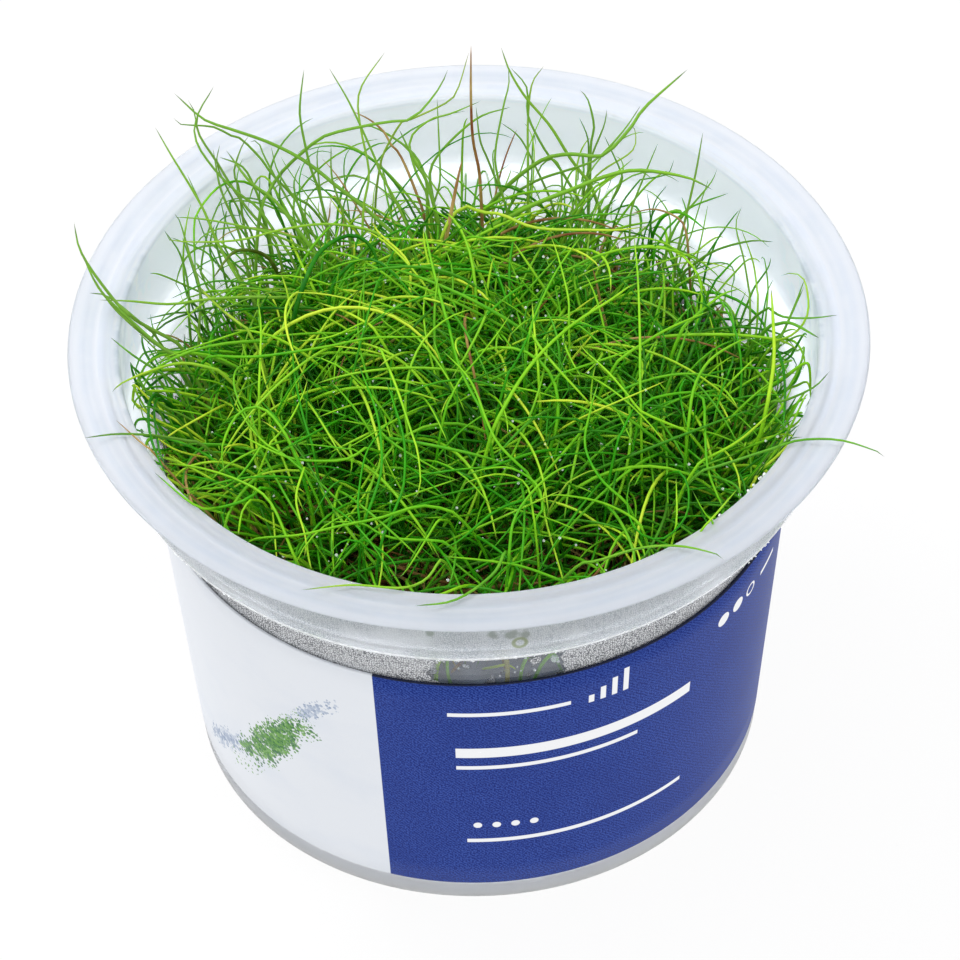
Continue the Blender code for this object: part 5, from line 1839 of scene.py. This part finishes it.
@dataclass
class Grass:
    """The clump: tufts on a sunflower spiral, each with the blades that root nearest to it."""

    cup: CupSizes
    mat: RootMat
    camera: PhotoCamera
    low: Vector
    high: Vector
    finish: BladeFinish = field(default_factory=BladeFinish)
    tufts: int = 36
    field_radius: float = 34.0 * MM
    root_radius: float = 37.5 * MM
    blade_radius: float = 0.205 * MM
    stray_sections: int = 30
    stray_rooted: int = 9
    rim_slope: float = 1.6
    margin: float = 0.35 * MM
    root_depth: float = 0.4 * MM
    bunch_count: int = 190
    bunch_spread: float = 1.4 * MM
    bunch_reach: float = 0.97
    bunch_tone: float = 0.15
    bunch_weights: Range = (0.6, 1.4)
    loose_pull: float = 0.9
    wall_pull: float = 1.2
    edge_start: float = 0.9
    swing: float = 0.22
    swing_rate: float = 6.0
    shortest: float = 5.0 * MM
    over_skyline: float = 2.2
    least_share: float = 0.25
    wall_softness: float = 5.0 * MM
    stray_overhang: float = 1.5 * MM
    stray_foot: float = 6.0 * MM
    stray_reach: float = 0.93
    stray_inset: float = 0.5 * MM
    wall_gap: float = 0.45 * MM
    fan_spread: float = 5.0 * MM
    crown: float = 65.5 * MM
    crown_fall: float = 5.5 * MM
    skyline: Skyline = field(default_factory=Skyline)
    random: np.random.Generator = field(default_factory=lambda: np.random.default_rng(SEED))

    def __post_init__(self) -> None:
        """Scatters the bunches over the mat, and weighs each by how dense the growth is there."""
        reach = self.bunch_reach * self.root_radius * np.sqrt(self.draw((0.0, 1.0), self.bunch_count))
        angle = self.draw((0.0, 2.0 * math.pi), self.bunch_count)
        self.bunches = np.stack((reach * np.cos(angle), reach * np.sin(angle)), axis=-1)
        self.bunch_tones = self.random.normal(0.0, self.bunch_tone, self.bunch_count)
        share = self.skyline.density(self.bunches[:, 0], self.bunches[:, 1])
        share = share * self.draw(self.bunch_weights, self.bunch_count)
        self.bunch_shares = share / share.sum()

    def crowns(self) -> Array:
        """The tufts' places: the radius grows as the root of the number, the angle by the golden angle."""
        number = np.arange(self.tufts)
        radius = self.field_radius * np.sqrt((number + 0.5) / self.tufts)
        angle = number * math.pi * (3.0 - math.sqrt(5.0))
        return np.stack((radius * np.cos(angle), radius * np.sin(angle)), axis=-1)

    def draw(self, limits: Range, count: int) -> Array:
        """Values drawn evenly between two limits."""
        return self.random.uniform(limits[0], limits[1], count)

    def roots(self, layer: Layer) -> tuple[Array, Array, Array]:
        """Where a layer's blades root, which way each first heads, and its bunch's own tone.

        In a bunch a blade heads away from the bunch's middle, strayed by a random turn and drawn outwards
        near the wall. In a fan it heads the fan's way, give or take its spread.

        Args:
            layer: the layer to root.

        Returns:
            The roots on the mat, the headings, and what is added to the tones.
        """
        count = layer.count
        if layer.fan is None:
            number = self.random.choice(self.bunch_count, count, p=self.bunch_shares)
            offset = self.random.normal(0.0, self.bunch_spread, (count, 2))
            loose = self.draw((-math.pi, math.pi), count)
            x, y = (self.bunches[number] + offset).T
            share = np.minimum(np.hypot(x, y) / self.root_radius, 1.0)[:, None] ** 2
            pull = unit(offset) + self.loose_pull * np.stack((np.cos(loose), np.sin(loose)), axis=-1)
            pull = pull + self.wall_pull * share * np.stack((x, y), axis=-1) / self.root_radius
            heading = np.arctan2(pull[:, 1], pull[:, 0])
            # The tones take each place's painted light and shade.
            tones = self.bunch_tones[number] + self.skyline.painted_light_and_shade(x, y)
        else:
            x, y = (np.array(layer.fan) * MM + self.random.normal(0.0, self.fan_spread, (count, 2))).T
            heading = np.radians(layer.heading + layer.spread * self.random.normal(0.0, 0.6, count))
            tones = np.zeros(count)
        reach = np.hypot(x, y)
        start = self.edge_start * self.root_radius
        scale = soft_stop(reach, start, self.root_radius) / np.maximum(reach, 1e-9)
        x, y = x * scale, y * scale
        return np.stack((x, y, self.mat.height(x, y) - self.root_depth), axis=-1), heading, tones

    def grown(self, layer: Layer) -> Crowd:
        """A layer's blades, each led by its own tilt and heading.

        Along the share s of its length a blade leans by lean + bend s^1.4 and heads by heading + curl s
        plus a slow wave, and its path is the running sum of those directions. Soft stops then keep it in
        the cup, under its ceiling and above the mat.

        Args:
            layer: the ranges to draw from.

        Returns:
            The blades.
        """
        count = layer.count
        LOG.info("%s: %d blades", layer.name, count)
        roots, heading, tones = self.roots(layer)
        share = np.linspace(0.0, 1.0, layer.sections)
        lean = np.radians(self.draw(layer.lean, count))
        bend = np.radians(self.draw(layer.bend, count))
        curl = np.radians(layer.curl) * self.random.normal(0.0, 0.8, count)
        wave = self.draw((-self.swing, self.swing), count)[:, None]
        wave = wave * np.sin(share[None] * self.swing_rate + self.draw((0.0, 6.3), count)[:, None])
        tilt = lean[:, None] + bend[:, None] * share[None] ** 1.4 + 0.6 * wave
        turn = heading[:, None] + curl[:, None] * share[None] + wave
        length = self.draw(layer.length, count) * MM
        ceiling = self.draw(layer.ceiling, count) * MM
        if layer.fan is None:
            room = self.skyline.height(roots[:, 0], roots[:, 1]) - roots[:, 2]
            length = np.minimum(length, self.shortest + 1.6 * np.maximum(room, 0.0))
        stride = length[:, None] / (layer.sections - 1)
        ways = np.stack((np.sin(tilt) * np.cos(turn), np.sin(tilt) * np.sin(turn), np.cos(tilt)), axis=-1)
        ways = ways * stride[..., None]
        paths = roots[:, None] + np.cumsum(ways, axis=1) - ways[:, :1]
        ragged = self.random.exponential(self.over_skyline, (count, 1)) * MM
        paths = self.fitted(paths, ceiling[:, None], ragged if layer.fan is None else None)
        paths = self.held(paths)
        tone = np.clip(self.draw(layer.tone, count) + tones, 0.0, 1.0)
        dry = np.where(self.draw((0.0, 1.0), count) < layer.dry_share, self.draw((0.6, 1.0), count), 0.0)
        return Crowd(paths, self.draw(layer.girth, count), tone, dry, self.draw(layer.faded_and_glowing, count),
                     layer.sides)

    def fitted(self, paths: Array, ceiling: Array, ragged: Array | None) -> Array:
        """Paths shortened, each about its root, until they stay under a domed ceiling.

        Args:
            paths: the blades' points.
            ceiling: height of the ceiling over the middle, for each blade.
            ragged: how far each may pass the skyline, or None where the skyline doesn't hold them down.

        Returns:
            The points: root + share (point - root), with the least share that a point needs.
        """
        x, y, z = np.moveaxis(paths, -1, 0)
        dome = ceiling - self.crown_fall * np.clip(np.hypot(x, y) / self.root_radius, 0.0, 1.1) ** 2
        if ragged is not None:
            dome = np.minimum(dome, self.skyline.height(x, y) + ragged)
        rise = z - z[:, :1]
        room = np.where(rise > MM, (dome - z[:, :1]) / np.maximum(rise, MM), 1.0)
        share = np.clip(room.min(axis=1), self.least_share, 1.0)[:, None, None]
        return paths[:, :1] + share * (paths - paths[:, :1])

    def held(self, paths: Array) -> Array:
        """Paths kept above the mat and, by a soft stop, inside the cup's wall."""
        x, y, z = np.moveaxis(paths, -1, 0)
        reach = np.hypot(x, y)
        z = np.maximum(z, self.mat.height(x, y) - self.root_depth)
        limit = self.cup.inside(z) - self.margin - self.blade_radius
        scale = soft_stop(reach, limit - self.wall_softness, limit) / np.maximum(reach, 1e-9)
        return np.stack((x * scale, y * scale, z), axis=-1)

    def cover(self, place: Array) -> Array:
        """Height of the clump's surface over places: the dome's, or the skyline's where that is lower."""
        x, y = place[:, 0], place[:, 1]
        dome = self.crown - self.crown_fall * np.clip(np.hypot(x, y) / self.root_radius, 0.0, 1.1) ** 2
        return np.minimum(dome, self.skyline.height(x, y) + self.stray_overhang)

    def followed(self, stray: Stray) -> Array:
        """A stray's path from its root to its tip.

        The seen part passes the followed places at heights that run evenly from tip to foot or follow the
        clump's surface, plus a lift that is 4 s (1 - s). They are raised where the blade would meet the
        rim. The hidden part is a cubic from the mat, upright there, to the seen part's foot and slope.

        Args:
            stray: what was followed on the photograph.

        Returns:
            The path's points.
        """
        seen = through(np.array(stray.places, float), self.stray_sections - self.stray_rooted)
        share = np.linspace(0.0, 1.0, len(seen))
        lift = 4.0 * stray.lift * share * (1.0 - share) * MM
        if stray.tip is None:
            heights = np.full(len(seen), self.crown)
            for _ in range(6):
                heights = self.cover(self.camera.at_height(seen, heights)) + lift
        else:
            heights = (stray.tip + (stray.foot - stray.tip) * share) * MM + lift
        over_rim = self.cup.rim_top + 2.0 * self.blade_radius
        inner = self.cup.collar_inside - 0.6 * MM
        for _ in range(6):
            path = self.camera.at_height(seen, heights)
            reach = np.hypot(path[:, 0], path[:, 1])
            heights = np.maximum(heights, over_rim - self.rim_slope * np.maximum(inner - reach, 0.0))
        path = self.camera.at_height(seen, heights)[::-1]
        slope = unit(path[1] - path[0])
        foot = path[0]
        back = foot[:2] - self.stray_foot * slope[:2]
        back *= min(1.0, self.stray_reach * self.root_radius / max(np.hypot(*back), 1e-9))
        root = np.array([*back, float(self.mat.height(back[0], back[1])) - self.root_depth])
        rise = np.linalg.norm(foot - root)
        t = np.linspace(0.0, 1.0, self.stray_rooted, endpoint=False)[:, None]
        pull_up = np.array([0.0, 0.0, 1.1 * rise])
        pull_on = (0.6 * slope + np.array([0.0, 0.0, 0.4])) * rise
        hidden = cubic(t, root, foot, pull_up, pull_on)
        return through(np.vstack((hidden[:-1], path)), self.stray_sections)

    def strays(self) -> Crowd:
        """All the blades followed on the photograph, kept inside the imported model's box."""
        paths = np.stack([self.followed(stray) for stray in STRAYS])
        paths = np.clip(paths, np.array(self.low) + self.stray_inset, np.array(self.high) - self.stray_inset)
        girth = np.array([stray.girth * (0.88 if stray.tip is None else 1.0) for stray in STRAYS])
        tone = np.array([stray.tone.value - (0.24 if stray.tip is None else 0.0) for stray in STRAYS])
        tone = tone + self.draw((-0.06, 0.06), len(STRAYS))
        dry = np.array([stray.dry for stray in STRAYS])
        return Crowd(paths, girth, tone, dry, np.array([stray.faded_and_glowing for stray in STRAYS]))

    def wall_blades(self) -> Crowd:
        """The blades against the clear wall: y = -sqrt(R^2 - x^2), with R just inside the wall there."""
        paths = []
        for blade in WALL_BLADES:
            x, z = through(np.array(blade.places) * MM, 16).T
            reach = self.cup.inside(z) - self.wall_gap
            paths.append(np.stack((x, -np.sqrt(reach**2 - x**2), z), axis=-1))
        girth = np.array([blade.girth for blade in WALL_BLADES])
        tone = np.array([blade.tone.value + 0.1 for blade in WALL_BLADES])
        dry = np.array([blade.dry for blade in WALL_BLADES])
        return Crowd(np.stack(paths), girth, tone, dry, np.full(len(WALL_BLADES), 0.2))

    def build(self, effects: SharedEffects) -> tuple[list[Piece], list[Crowd]]:
        """One piece for each packed tuft.

        Args:
            effects: the shared node groups.

        Returns:
            The pieces and the crowds of blades in them.
        """
        material = self.finish.build(effects)
        crowds = [self.grown(layer) for layer in LAYERS] + [self.strays(), self.wall_blades()]
        crowns = self.crowns()
        owners = []
        for crowd in crowds:
            offsets = crowd.paths[:, None, 0, :2] - crowns[None]
            owners.append(np.argmin(np.hypot(offsets[..., 0], offsets[..., 1]), axis=1))
        pieces = []
        for tuft in range(self.tufts):
            points, faces, looks, start = [], [], [], 0
            for crowd, owner in zip(crowds, owners):
                chosen = crowd.part(owner == tuft)
                if not len(chosen.paths):
                    continue
                corners, groups, look = chosen.mesh(self.blade_radius)
                faces += [group + start for group in groups]
                points.append(corners)
                looks.append(look)
                start += len(corners)
            faces = [np.concatenate([group for group in faces if group.shape[1] == size]) for size in (4, 3)]
            piece = make_piece(f"hairgrass_tuft_{tuft + 1:02d}", np.concatenate(points), faces, material)
            give_look(piece, np.concatenate(looks))
            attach(piece, BODY)
            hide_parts(f"grass_tuft_{tuft + 1:02d}")
            pieces.append(piece)
        return pieces, crowds


@dataclass
class Litter:
    """Loose root fibres and dead leaf strands on the mat and against the clear wall."""

    cup: CupSizes
    mat: RootMat
    strands: int = 1700
    wall_strands: int = 420
    radius: float = 0.17 * MM
    sections: int = 9
    reach: float = 37.5 * MM
    soft_edge: float = 34.0 * MM
    hard_edge: float = 38.2 * MM
    window_margin: float = 2.0 * MM
    random: np.random.Generator = field(default_factory=lambda: np.random.default_rng(SEED + 1))

    def column(self, low: float, high: float, count: int) -> Array:
        """One evenly drawn value for each strand, as a column."""
        return self.random.uniform(low, high, count)[:, None]

    def turning(self, share: Array, rate: float, count: int) -> Array:
        """An angle that starts anywhere and turns along each strand at its own random rate."""
        first = self.column(0.0, 2.0 * math.pi, count)
        return first + share * self.random.normal(0.0, rate, count)[:, None]

    def lying(self) -> Array:
        """Strands that lie on the mat's top in shallow waves."""
        count = self.strands
        reach = self.reach * np.sqrt(self.random.uniform(0.0, 1.0, count))
        angle = self.random.uniform(0.0, 2.0 * math.pi, count)
        share = np.linspace(-0.5, 0.5, self.sections)[None, :]
        length = self.column(4.0, 15.0, count) * MM
        heading = self.turning(share, 1.2, count)
        x = (reach * np.cos(angle))[:, None] + length * share * np.cos(heading)
        y = (reach * np.sin(angle))[:, None] + length * share * np.sin(heading)
        far = np.hypot(x, y)
        scale = soft_stop(far, self.soft_edge, self.hard_edge) / np.maximum(far, 1e-9)
        x, y = x * scale, y * scale
        lift = self.column(0.1, 1.0, count) * (2.0 + 3.0 * smooth(-y, 8.0 * MM, 24.0 * MM)) * MM
        z = self.mat.height(x, y) + lift * (0.6 + 0.4 * np.cos(share * 7.0))
        return self.clear_of_window(np.stack((x, y, z), axis=-1), -28.0 * MM)

    def clear_of_window(self, paths: Array, front: float) -> Array:
        """The strands with no point that is in front of a line and across the clear window."""
        x, y, _ = np.moveaxis(paths, -1, 0)
        left, right = self.cup.window_left - self.window_margin, self.cup.window_right + self.window_margin
        across = (x > left) & (x < right)
        return paths[~(across & (y < front)).any(axis=1)]

    def standing(self) -> Array:
        """Roots that run down just inside the wall."""
        count = self.wall_strands
        share = np.linspace(0.0, 1.0, self.sections)[None, :]
        angle = self.turning(share, 0.12, count)
        top = self.column(40.0, 50.0, count) * MM
        z = top - share * self.column(5.0, 20.0, count) * MM
        reach = self.cup.outside(z) - self.cup.wall - self.column(0.25, 1.5, count) * MM
        paths = np.stack((reach * np.cos(angle), reach * np.sin(angle), z), axis=-1)
        return self.clear_of_window(paths, 0.0)

    def build(self, material: Material) -> Piece:
        """All the strands as one piece."""
        paths = np.concatenate((self.lying(), self.standing()))
        count = len(paths)
        dry = self.random.uniform(0.75, 1.0, count)
        crowd = Crowd(paths, self.random.uniform(0.6, 1.6, count), np.ones(count), dry, np.zeros(count), 3)
        points, faces, look = crowd.mesh(self.radius)
        piece = make_piece("loose_roots", points, faces, material)
        give_look(piece, look)
        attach(piece, BODY)
        return piece


@dataclass
class Droplets:
    """Water drops on the blades, inside the clear wall, on the collar's foot and by the rim's inner edge."""

    cup: CupSizes
    finish: WaterFinish = field(default_factory=WaterFinish)
    on_blades: int = 420
    on_wall: int = 170
    on_rim: int = 26
    on_ledge: int = 150
    lowest: float = 55.0 * MM
    large: tuple[Range, ...] = ((9.4, 46.6), (10.9, 47.4), (12.4, 47.0))
    random: np.random.Generator = field(default_factory=lambda: np.random.default_rng(SEED + 2))

    def beads(self, name: str, centres: Array, radii: Array, material: Material) -> Piece:
        """Small round beads as one piece: centre + radius times a turned half circle of six points.

        Args:
            name: the piece's name.
            centres: the beads' middles.
            radii: their radii.
            material: their finish.

        Returns:
            The piece.
        """
        turn = np.linspace(-math.pi / 2.0, math.pi / 2.0, 6)
        profile = np.stack((np.cos(turn), np.sin(turn)), axis=-1)
        ball, faces = turned_body(profile, 8)
        points = centres[:, None] + radii[:, None, None] * ball[None]
        shift = (np.arange(len(centres)) * len(ball))[:, None, None]
        groups = [(group[None] + shift).reshape(-1, group.shape[1]) for group in faces]
        piece = make_piece(name, points.reshape(-1, 3), groups, material)
        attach(piece, BODY)
        return piece

    def build(self, effects: SharedEffects, crowds: list[Crowd]) -> list[Piece]:
        """The five groups of drops.

        Args:
            effects: the shared node groups.
            crowds: the blades that drops may hang on.

        Returns:
            The pieces.
        """
        material = self.finish.build(effects)
        points = np.concatenate([crowd.paths.reshape(-1, 3) for crowd in crowds[1:3]])
        high = points[points[:, 2] > self.lowest]
        chosen = high[self.random.choice(len(high), self.on_blades, replace=False)]
        centres = chosen + self.random.normal(0.0, 0.2, (self.on_blades, 3)) * MM
        radii = self.random.uniform(0.07, 0.20, self.on_blades) * MM
        made = [self.beads("drops_on_blades", centres, radii, material)]
        angle = self.random.uniform(-1.9, 1.9, self.on_wall)
        z = self.random.uniform(44.8, 51.0, self.on_wall) * MM
        reach = self.cup.outside(z) - self.cup.wall - 0.02 * MM
        centres = round_axis(reach, angle, z)
        radii = self.random.uniform(0.08, 0.20, self.on_wall) * MM
        made.append(self.beads("drops_on_wall", centres, radii, material))
        x, z = np.array(self.large).T * MM
        reach = self.cup.outside(z) - self.cup.wall - 0.1 * MM
        centres = np.stack((x, -np.sqrt(reach**2 - x**2), z), axis=-1)
        made.append(self.beads("large_drops_on_wall", centres, np.full(len(x), 0.55 * MM), material))
        angle = self.random.uniform(-1.2, 1.2, self.on_ledge)
        reach = self.cup.collar_radius + 0.05 * MM
        z = self.cup.collar_foot + self.random.uniform(0.1, 0.45, self.on_ledge) * MM
        centres = round_axis(reach, angle, z)
        radii = self.random.uniform(0.05, 0.11, self.on_ledge) * MM
        made.append(self.beads("drops_on_ledge", centres, radii, material))
        angle = self.random.uniform(0.70, 0.98, self.on_rim)
        reach = self.cup.collar_inside + 0.1 * MM
        z = self.cup.rim_top - self.random.uniform(0.3, 1.2, self.on_rim) * MM
        centres = round_axis(reach, angle, z)
        radii = self.random.uniform(0.12, 0.30, self.on_rim) * MM
        made.append(self.beads("drops_on_rim", centres, radii, material))
        return made


def report(piece: Piece) -> None:
    """Logs a piece's name and its number of triangles."""
    corners = np.empty(len(piece.data.polygons), np.int32)
    piece.data.polygons.foreach_get("loop_total", corners)
    LOG.info("%s: %d triangles", piece.name, int((corners - 2).sum()))


def main() -> None:
    """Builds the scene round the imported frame."""
    logging.basicConfig(level=logging.INFO, format="%(message)s")
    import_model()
    cad_low, cad_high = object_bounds()
    _, cup_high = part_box("cup")
    label_low, label_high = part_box("label")
    _, gel_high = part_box("growing_gel")
    mat_low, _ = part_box("root_mat")
    sizes = CupSizes(cup_high.x, cup_high.z, label_low.z, label_high.z)
    camera = PhotoCamera()
    camera.build()
    Studio().build()
    effects = SharedEffects()
    mat = RootMat(sizes, mat_low.z)
    pieces = [Cup(sizes).build(effects), PrintedBand(sizes).build(effects)]
    pieces += [GrowingGel(sizes, gel_high.z).build(effects), mat.build(effects)]
    tufts, crowds = Grass(sizes, mat, camera, cad_low, cad_high).build(effects)
    pieces += tufts
    pieces.append(Litter(sizes, mat).build(tufts[0].data.materials[0]))
    pieces += Droplets(sizes).build(effects, crowds)
    for piece in pieces:
        report(piece)


if __name__ == "__main__":
    main()
